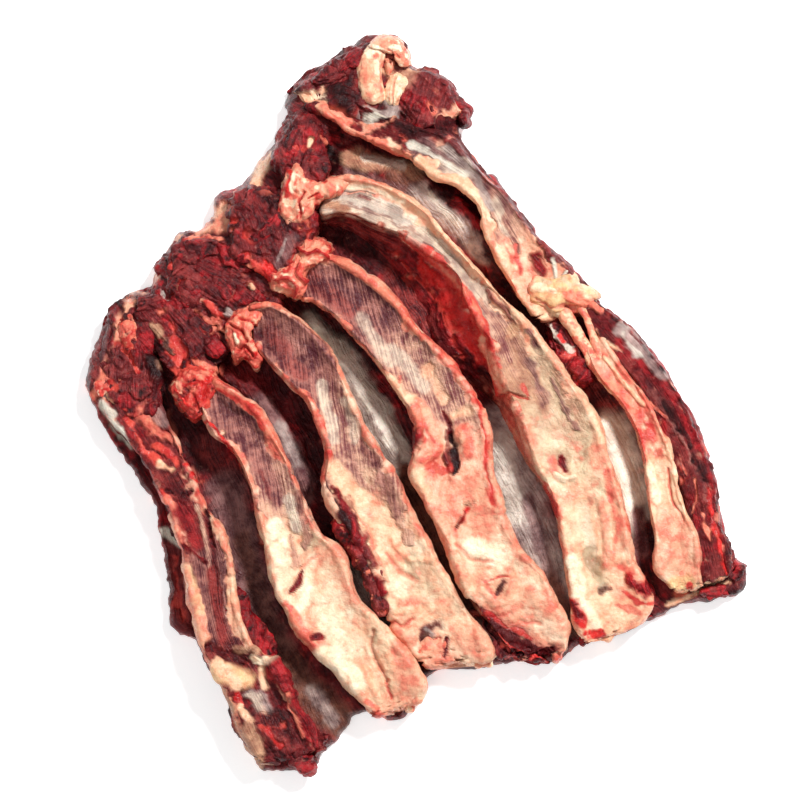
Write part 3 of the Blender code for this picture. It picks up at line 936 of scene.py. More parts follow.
# ---- Flaps and strands ----
@dataclass
class Flap:
    """A heavy torn flap of meat, domed above and rooted in the slab.

    Attributes:
        name: Name of the piece.
        outline: Its rim in plan steps.
        top: Height of its top.
        fall: How far the dome falls to its rim, as a share of the height.
        base: What it is made of.
        patches: Tissues that lie over it in uneven patches, with the share each covers.
        edge: Share of the height that its rim stands up to.
        turn: Direction of its fibres, in degrees.
        grit: Depth of its torn relief, in millimetres.
        wrinkle: Depth of the wrinkles of its fat, in millimetres.
        segments: Segments round it and from top to bottom.
    """

    name: str
    outline: list[Pair]
    top: float
    fall: float
    base: Paint = Paint.MEAT
    patches: Cover = (
        (Paint.MAROON, 0.34), (Paint.ROSE, 0.26), (Paint.CRIMSON, 0.26), (Paint.CORAL, 0.06),
        (Paint.SALMON, 0.04),
    )
    edge: float = 0.55
    turn: float = 60.0
    grit: float = 3.0
    wrinkle: float = 1.6
    segments: tuple[int, int] = (200, 104)

    foot = 0.35  # how far the flap's foot spreads under it
    fine_below = 200  # a flap with fewer segments has finer patches and wrinkles

    def build(self, meat: bpy.types.Material) -> bpy.types.Object:
        """Builds the flap.

        Args:
            meat: Its material.

        Returns:
            The object.
        """
        bm = bmesh.new()
        around, rows = self.segments
        bmesh.ops.create_uvsphere(bm, u_segments=around, v_segments=rows, radius=1.0)
        shell = Shell(self.name, bm)
        ball = shell.points
        centre = np.mean(self.outline, axis=0)
        turn = np.arctan2(ball[:, 1], ball[:, 0]) / (2 * math.pi) % 1.0
        rim = even_curve(list(self.outline) + [self.outline[0]], turn)
        out = np.hypot(ball[:, 0], ball[:, 1])
        spread = 1 + self.foot * np.clip(-ball[:, 2], 0, 0.5)
        spread += 0.05 * LUMPS.layers(ball * (0.05, 0.05, 0), 12 * MM)
        plan = centre + (rim - centre) * (spread * out**0.8)[:, None]
        dome = (1 - self.fall) + self.fall * np.clip(ball[:, 2], 0, 1) ** 0.5
        shoulder = np.clip(self.edge + ball[:, 2] * 1.25, 0, 1)
        points = PLAN.place(plan, np.maximum(ROOT, self.top * dome * shoulder))
        shell.points = points
        shell.close(tube=False)
        canvas = Canvas(points, smooth((ball[:, 2] + 0.35) / 0.25), self.base)
        small = around < self.fine_below
        patch, fold = (5 * MM, 7 * MM) if small else (10 * MM, 10 * MM)
        for paint, share in self.patches:
            canvas.mottle(paint, patch, share, np.ones(len(points)), 0.45)
        canvas.apply(self.name)
        shell.roughen(canvas, self.grit, self.wrinkle, fold)
        turn = math.radians(self.turn)
        along = points[:, 0] * math.cos(turn) + points[:, 1] * math.sin(turn)
        over = points[:, 0] * -math.sin(turn) + points[:, 1] * math.cos(turn)
        shell.dress(canvas, np.stack([over, along, points[:, 2]], axis=1))
        return shell.finish(meat)


@dataclass
class Strand:
    """A rounded strand, curl or strip that lies along its route.

    Attributes:
        name: Name of the piece.
        route: Its route in plan steps.
        radius: Its radius along the route, in plan steps.
        middle: Height of its middle line along the route.
        paints: What it is made of along the route.
        patches: Tissues that lie over it in uneven patches, with the share each covers.
        lumps: Depth of its lumps, in millimetres.
    """

    name: str
    route: list[Pair]
    radius: tuple[float, ...]
    middle: tuple[float, ...]
    paints: tuple[Paint, ...] = (Paint.SALMON,)
    patches: Cover = ()
    lumps: float = 1.2

    around = 64  # cells round it
    ring_step = 0.7 * MM  # distance between one ring of vertices and the next
    fewest_rings = 16
    patch_spacing = 4 * MM
    lump_spacing = 7 * MM
    grit = 1.6
    wrinkle = 0.9

    def build(self, meat: bpy.types.Material) -> bpy.types.Object:
        """Builds the strand.

        Args:
            meat: Its material.

        Returns:
            The object.
        """
        length = np.linalg.norm(np.diff(np.array(self.route), axis=0), axis=1).sum() * PLAN.unit
        rings = max(self.fewest_rings, int(length / self.ring_step))
        shell, around, along = grid_shell(self.name, self.around, rings)
        angle = around * 2 * math.pi
        line = even_curve(self.route, along)
        ahead = even_curve(self.route, along + 0.02) - even_curve(self.route, along - 0.02)
        ahead /= np.linalg.norm(ahead, axis=1)[:, None]
        sideways = np.stack([-ahead[:, 1], ahead[:, 0]], axis=1)
        from_end = np.minimum(along, 1 - along) * length / PLAN.unit
        wide = level_at(self.radius, along)
        cap = np.clip(from_end / wide, 0, 1)
        thick = wide * (0.02 + 0.98 * np.sqrt(np.clip(1 - (1 - cap) ** 2, 0, 1)))
        plan = line + sideways * (np.cos(angle) * thick)[:, None]
        height = level_at(self.middle, along) + np.sin(angle) * thick * PLAN.unit
        shell.points = PLAN.place(plan, np.maximum(height, ROOT))
        shell.keep("along", along)
        shell.close(tube=True)
        along = shell.take("along")
        points = shell.points
        canvas = Canvas(points, np.ones(len(points)), self.paints[0])
        whole = np.ones(len(points))
        canvas.lay_course(self.paints, along, whole)
        for paint, share in self.patches:
            canvas.mottle(paint, self.patch_spacing, share, whole)
        canvas.lift += self.lumps * MM * LUMPS.layers(points, self.lump_spacing, 2)
        shell.roughen(canvas, self.grit, self.wrinkle)
        shell.dress(canvas, np.stack([points[:, 0], along * length, points[:, 2]], axis=1))
        return shell.finish(meat)


# ---- Materials ----
def tone(screen: Tone) -> tuple[float, float, float, float]:
    """Turns a screen colour into the value of a colour socket."""
    return (*linear(screen), 1.0)


class Wire:
    """An output socket that takes part in Python arithmetic."""

    def __init__(self, graph: "Graph", socket: bpy.types.NodeSocket) -> None:
        """Wraps an output socket of a graph."""
        self.graph = graph
        self.socket = socket

    def _math(self, operation: str, first: object, second: object) -> "Wire":
        """Adds a Math node."""
        return self.graph.add("ShaderNodeMath", {"operation": operation}, {0: first, 1: second})

    def __add__(self, other: object) -> "Wire":
        """Sum."""
        return self._math("ADD", self, other)

    def __radd__(self, other: object) -> "Wire":
        """Sum, reflected."""
        return self._math("ADD", other, self)

    def __sub__(self, other: object) -> "Wire":
        """Difference."""
        return self._math("SUBTRACT", self, other)

    def __rsub__(self, other: object) -> "Wire":
        """Difference, reflected."""
        return self._math("SUBTRACT", other, self)

    def __mul__(self, other: object) -> "Wire":
        """Product."""
        return self._math("MULTIPLY", self, other)

    def __rmul__(self, other: object) -> "Wire":
        """Product, reflected."""
        return self._math("MULTIPLY", other, self)


class Graph:
    """The node graph of one material."""

    def __init__(self, name: str) -> None:
        """Starts a material with its Principled shader.

        Args:
            name: Name of the material.
        """
        self.material = bpy.data.materials.new(name)
        self.material.use_nodes = True
        self.tree = self.material.node_tree
        self.shader = self.tree.nodes["Principled BSDF"]

    def add(
        self, kind: str, settings: dict[str, object] | None = None,
        inputs: dict[int | str, object] | None = None, output: int | str = 0,
    ) -> Wire:
        """Adds a node.

        Args:
            kind: The node's type.
            settings: Its settings, set first.
            inputs: Values or wires for its sockets.
            output: Which output is returned.

        Returns:
            The output.
        """
        node = self.tree.nodes.new(kind)
        for key, value in (settings or {}).items():
            setattr(node, key, value)
        for key, value in (inputs or {}).items():
            self.feed(node.inputs[key], value)
        return Wire(self, node.outputs[output])

    def feed(self, socket: bpy.types.NodeSocket, value: object) -> None:
        """Links a wire to a socket, or sets the socket's value."""
        if isinstance(value, Wire):
            self.tree.links.new(value.socket, socket)
        else:
            socket.default_value = value

    def dress(self, inputs: dict[str, object]) -> bpy.types.Material:
        """Feeds the shader's sockets by name and gives the material."""
        for key, value in inputs.items():
            self.feed(self.shader.inputs[key], value)
        return self.material

    def bump(self, height: Wire, strength: float, distance: float) -> Wire:
        """Turns a height into a normal."""
        inputs = {"Strength": strength, "Distance": distance, "Height": height}
        return self.add("ShaderNodeBump", {}, inputs)

    def noise(self, place: Wire, scale: float, detail: float = 3.0, rough: float = 0.55) -> Wire:
        """Noise from 0 to 1 at a place."""
        inputs = {"Vector": place, "Scale": scale, "Detail": detail, "Roughness": rough}
        return self.add("ShaderNodeTexNoise", {}, inputs, "Fac")

    def distance(self, value: Wire) -> Wire:
        """How far a noise is from its middle, which makes thin wandering lines."""
        return self.add("ShaderNodeMath", {"operation": "ABSOLUTE"}, {0: value - 0.5})

    def stretch(self, place: Wire, scale: Spot) -> Wire:
        """Scales a place differently along its three directions."""
        inputs = {0: place, 1: scale}
        return self.add("ShaderNodeVectorMath", {"operation": "MULTIPLY"}, inputs)

    def step(self, value: Wire, low: float, high: float) -> Wire:
        """Smooth step from 0 at low to 1 at high."""
        settings = {"interpolation_type": "SMOOTHSTEP", "clamp": True}
        return self.add("ShaderNodeMapRange", settings, {0: value, 1: low, 2: high})

    def blend(self, share: Wire | float, first: object, second: object) -> Wire:
        """Mixes two colours."""
        settings = {"data_type": "RGBA", "clamp_factor": True}
        return self.add("ShaderNodeMix", settings, {0: share, 6: first, 7: second}, 2)

    def darken(self, colour: Wire, share: Wire | float) -> Wire:
        """Multiplies a colour by a grey value."""
        grey = self.add("ShaderNodeCombineXYZ", {}, {0: share, 1: share, 2: share})
        settings = {"data_type": "RGBA", "blend_type": "MULTIPLY"}
        return self.add("ShaderNodeMix", settings, {0: 1.0, 6: colour, 7: grey}, 2)

    def attribute(self, label: str, output: str = "Vector") -> Wire:
        """A value that each vertex carries."""
        return self.add("ShaderNodeAttribute", {"attribute_name": label}, {}, output)

    def parts(self, label: str) -> tuple[Wire, Wire, Wire]:
        """The three numbers of a vector that each vertex carries."""
        vector = self.attribute(label)
        node = self.add("ShaderNodeSeparateXYZ", {}, {0: vector}).socket.node
        return tuple(Wire(self, node.outputs[k]) for k in range(3))


@dataclass(frozen=True)
class MeatFinish:
    """Raw meat: each vertex says its light tone, its deep tone, its kind of tissue and its painted
    shade.

    Attributes:
        name: Name of the material.
        fleck_and_glint, vein: Screen colours of the pale flecks on muscle, partly fat and partly
            painted glints, and of the veins of fat.
        roughness, specular: How dull and how shiny it is.
        broad, mid, pores, torn, curd: Noise scales, from broad patches to pores.
        threads, bands, waves: How the fibre directions are stretched for each pattern.
        wave_scale: Scale of the stripes.
        sway, sway_scale: How far the stripes sway, and over what noise.
        relief: Depth of the bump.
        glow, glow_reach: Share and reach of the light that passes under the surface.
    """

    name: str = "raw_meat"
    fleck_and_glint: Tone = (236, 176, 150)
    vein: Tone = (226, 112, 92)
    roughness: float = 0.30
    specular: float = 0.20
    broad: float = 75.0
    mid: float = 230.0
    pores: float = 640.0
    torn: float = 140.0
    curd: float = 120.0
    threads: Spot = (460, 34, 90)
    bands: Spot = (850, 46, 110)
    waves: Spot = (1, 0.05, 0.3)
    wave_scale: float = 118.0
    sway: float = 6 * MM
    sway_scale: float = 26.0
    relief: float = 2.6 * MM
    glow: float = 0.08
    glow_reach: Spot = (3 * MM, 1 * MM, 0.6 * MM)

    def build(self) -> bpy.types.Material:
        """Builds the material.

        Returns:
            The material.
        """
        graph = Graph(self.name)
        here = graph.add("ShaderNodeTexCoord", {}, {}, "Object")
        across = {0: graph.noise(here, self.sway_scale, 2) * self.sway}
        inputs = {0: graph.attribute("fibre"), 1: graph.add("ShaderNodeCombineXYZ", {}, across)}
        fibre = graph.add("ShaderNodeVectorMath", {"operation": "ADD"}, inputs)
        light, deep = graph.attribute("light_tone"), graph.attribute("deep_tone")
        fat, skin, stripe = graph.parts("kind")
        crease_shade = graph.attribute("crease_shade", "Fac")

        broad = graph.noise(here, self.broad, 2)
        mid = graph.noise(here, self.mid, 4, 0.6)
        pores = graph.noise(here, self.pores, 2, 0.6)
        torn = graph.noise(here, self.torn, 4, 0.6)
        crack = graph.step(graph.distance(torn), 0.04, 0.0)
        threads = graph.noise(graph.stretch(fibre, self.threads), 1.0, 4, 0.62)
        curd = graph.noise(here, self.curd, 3, 0.6)
        bands = graph.noise(graph.stretch(fibre, self.bands), 1.0, 3, 0.6)
        wave = graph.add(
            "ShaderNodeTexWave", {"wave_type": "BANDS", "bands_direction": "X"},
            {"Vector": graph.stretch(fibre, self.waves), "Scale": self.wave_scale,
             "Distortion": 9.0, "Detail": 3.0, "Detail Scale": 1.6}, "Fac",
        )

        flesh = torn * 0.2 + mid * 0.25 + threads * 0.55 + (broad - 0.5) * 0.4
        flesh = graph.step(flesh, 0.38, 0.62)
        lines = bands * 0.50 + threads * 0.15 + wave * 0.13
        lines = lines + (broad - 0.5) * 0.8 + (mid - 0.5) * 0.5
        striped = graph.step(lines, 0.20, 0.58)
        tallow = graph.step(curd * 0.5 + broad * 0.3 + mid * 0.2, 0.60, 0.40)
        sheen = graph.step(broad * 0.5 + threads * 0.25 + mid * 0.3, 0.40, 0.66)
        muscle = 1.0 - fat - skin - stripe
        share = flesh * muscle + striped * stripe + tallow * fat + sheen * skin
        colour = graph.blend(share, deep, light)

        # Pale flecks on muscle and stripes: partly fat flecks, partly painted glints.
        flecks_and_glints = graph.step(pores * 0.4 + mid * 0.6, 0.58, 0.68) * (muscle * 0.16 + stripe * 0.08)
        colour = graph.blend(flecks_and_glints, colour, tone(self.fleck_and_glint))
        veins = graph.step(torn * 0.5 + curd * 0.5, 0.53, 0.66) * fat
        colour = graph.blend(veins * 0.5 + crack * fat * 0.10, colour, tone(self.vein))
        # Painted shade: creases, cuts and, on muscle, the cracks of the torn noise darken towards
        # the deep tone.
        depth = graph.step(crease_shade + (pores - 0.5) * 0.5, 0.15, 1.0)
        shade = depth * (0.45 + muscle * 0.35) + crack * muscle * 0.22
        colour = graph.blend(shade, colour, graph.darken(deep, 0.55))
        colour = graph.darken(colour, 0.70 + broad * 0.30 + pores * 0.22)

        knots = (torn * 0.8 + mid * 0.6) * (1.0 - fat * 0.4)
        height = knots + threads * (1.0 - fat) * 0.8 + pores * 0.12
        return graph.dress({
            "Base Color": colour,
            "Roughness": self.roughness + (pores - 0.5) * 0.4 + muscle * 0.06,
            "Normal": graph.bump(height, 1.0, self.relief),
            "Specular IOR Level": self.specular,
            "Subsurface Weight": self.glow,
            "Subsurface Radius": self.glow_reach,
            "Subsurface Scale": 1.0,
        })


@dataclass(frozen=True)
class UndersideFinish:
    """The flat underside: pale membrane over plum muscle, with red lean and scattered fat."""

    name: str = "underside_membrane"
    pale: Tone = (226, 200, 182)
    plum: Tone = (140, 62, 60)
    tallow: Tone = (246, 214, 176)
    red: Tone = (150, 40, 42)
    roughness: float = 0.45
    specular: float = 0.3
    relief: float = 1.4 * MM

    def build(self) -> bpy.types.Material:
        """Builds the material.

        Returns:
            The material.
        """
        graph = Graph(self.name)
        here = graph.add("ShaderNodeTexCoord", {}, {}, "Object")
        broad = graph.noise(here, 17, 5, 0.6)
        patchy = graph.noise(graph.stretch(here, (34, 22, 30)), 1.0, 4, 0.6)
        mid = graph.noise(here, 130, 4, 0.6)
        streaks = graph.noise(graph.stretch(here, (90, 240, 90)), 1.0, 4, 0.6)
        skin = graph.step(broad * 0.6 + streaks * 0.3 + mid * 0.2, 0.44, 0.66)
        colour = graph.blend(skin, tone(self.plum), tone(self.pale))
        lean = graph.step(streaks * 0.5 + mid * 0.5 + (broad - 0.5) * 0.4, 0.50, 0.64)
        colour = graph.blend(lean * 0.6, colour, tone(self.red))
        fat = graph.step(patchy * 0.7 + mid * 0.3, 0.54, 0.60)
        colour = graph.blend(fat, colour, tone(self.tallow))
        height = mid * 0.7 + fat * 0.5 + streaks * 0.3
        return graph.dress({
            "Base Color": colour, "Roughness": self.roughness,
            "Specular IOR Level": self.specular, "Normal": graph.bump(height, 0.7, self.relief),
        })


# ---- Studio ----
@dataclass(frozen=True)
class Lamp:
    """A square soft light that faces the slab.

    Attributes:
        name: Name of the light.
        place: Where it hangs.
        side: Its side.
        watts: Its power.
    """

    name: str
    place: Spot
    side: float
    watts: float

    def hang(self) -> None:
        """Makes the light."""
        data = bpy.data.lights.new(self.name, "AREA")
        data.shape = "SQUARE"
        data.size = self.side
        data.energy = self.watts
        lamp = bpy.data.objects.new(self.name, data)
        lamp.location = self.place
        lamp.rotation_euler = (-lamp.location).to_track_quat("-Z", "Y").to_euler()
        bpy.context.scene.collection.objects.link(lamp)


@dataclass(frozen=True)
class Studio:
    """Pale floor, soft light and the camera.

    Attributes:
        sensor: Width of the camera's sensor, in millimetres.
        floor_side: Side of the floor.
        floor_grey, floor_glow: How pale the floor is and how much light it gives.
        sky: Strength of the light from all round.
        lamps: The lights.
    """

    sensor: float = 36.0
    floor_side: float = 6.0
    floor_grey: float = 0.93
    floor_glow: float = 0.5
    sky: float = 0.36
    lamps: tuple[Lamp, ...] = (
        Lamp("key", (1.0, 0.9, 2.0), side=0.34, watts=73),
        Lamp("fill", (-0.7, -1.0, 2.0), side=1.2, watts=9),
    )

    def camera(self) -> None:
        """Makes the camera that sees the plan square on."""
        data = bpy.data.cameras.new("camera")
        data.sensor_width = self.sensor
        data.lens = self.sensor * PLAN.distance / (PLAN.side * PLAN.unit)
        camera = bpy.data.objects.new("camera", data)
        camera.location = PLAN.eye
        camera.rotation_euler = (PLAN.tilt, 0, 0)
        bpy.context.scene.collection.objects.link(camera)
        bpy.context.scene.camera = camera

    def floor(self) -> None:
        """Makes the pale floor."""
        bm = bmesh.new()
        bmesh.ops.create_grid(bm, x_segments=1, y_segments=1, size=self.floor_side / 2)
        mesh = bpy.data.meshes.new("floor")
        bm.to_mesh(mesh)
        bm.free()
        floor = bpy.data.objects.new("floor", mesh)
        bpy.context.scene.collection.objects.link(floor)
        mesh.materials.append(Graph("pale_floor").dress({
            "Base Color": (*(self.floor_grey,) * 3, 1), "Roughness": 0.9,
            "Emission Color": (1, 1, 1, 1), "Emission Strength": self.floor_glow,
        }))

    def build(self) -> None:
        """Sets up the floor, the lights, the sky and the camera."""
        self.floor()
        self.camera()
        for lamp in self.lamps:
            lamp.hang()
        world = bpy.data.worlds.new("studio")
        world.use_nodes = True
        background = world.node_tree.nodes["Background"]
        background.inputs["Color"].default_value = (1, 1, 1, 1)
        background.inputs["Strength"].default_value = self.sky
        bpy.context.scene.world = world
        bpy.context.scene.view_settings.view_transform = "Standard"


# ---- The slab ----
(IVORY, CREAM, PEACH, SALMON, CORAL, OCHRE, HUSK, BLOOD, CRIMSON, MEAT, ROSE, MAROON, BLACK, PLUM,
 LILAC, PEARL, LEAN, SILVER, SLATE, DUSK, UMBER, TAN) = Paint  # fmt: skip
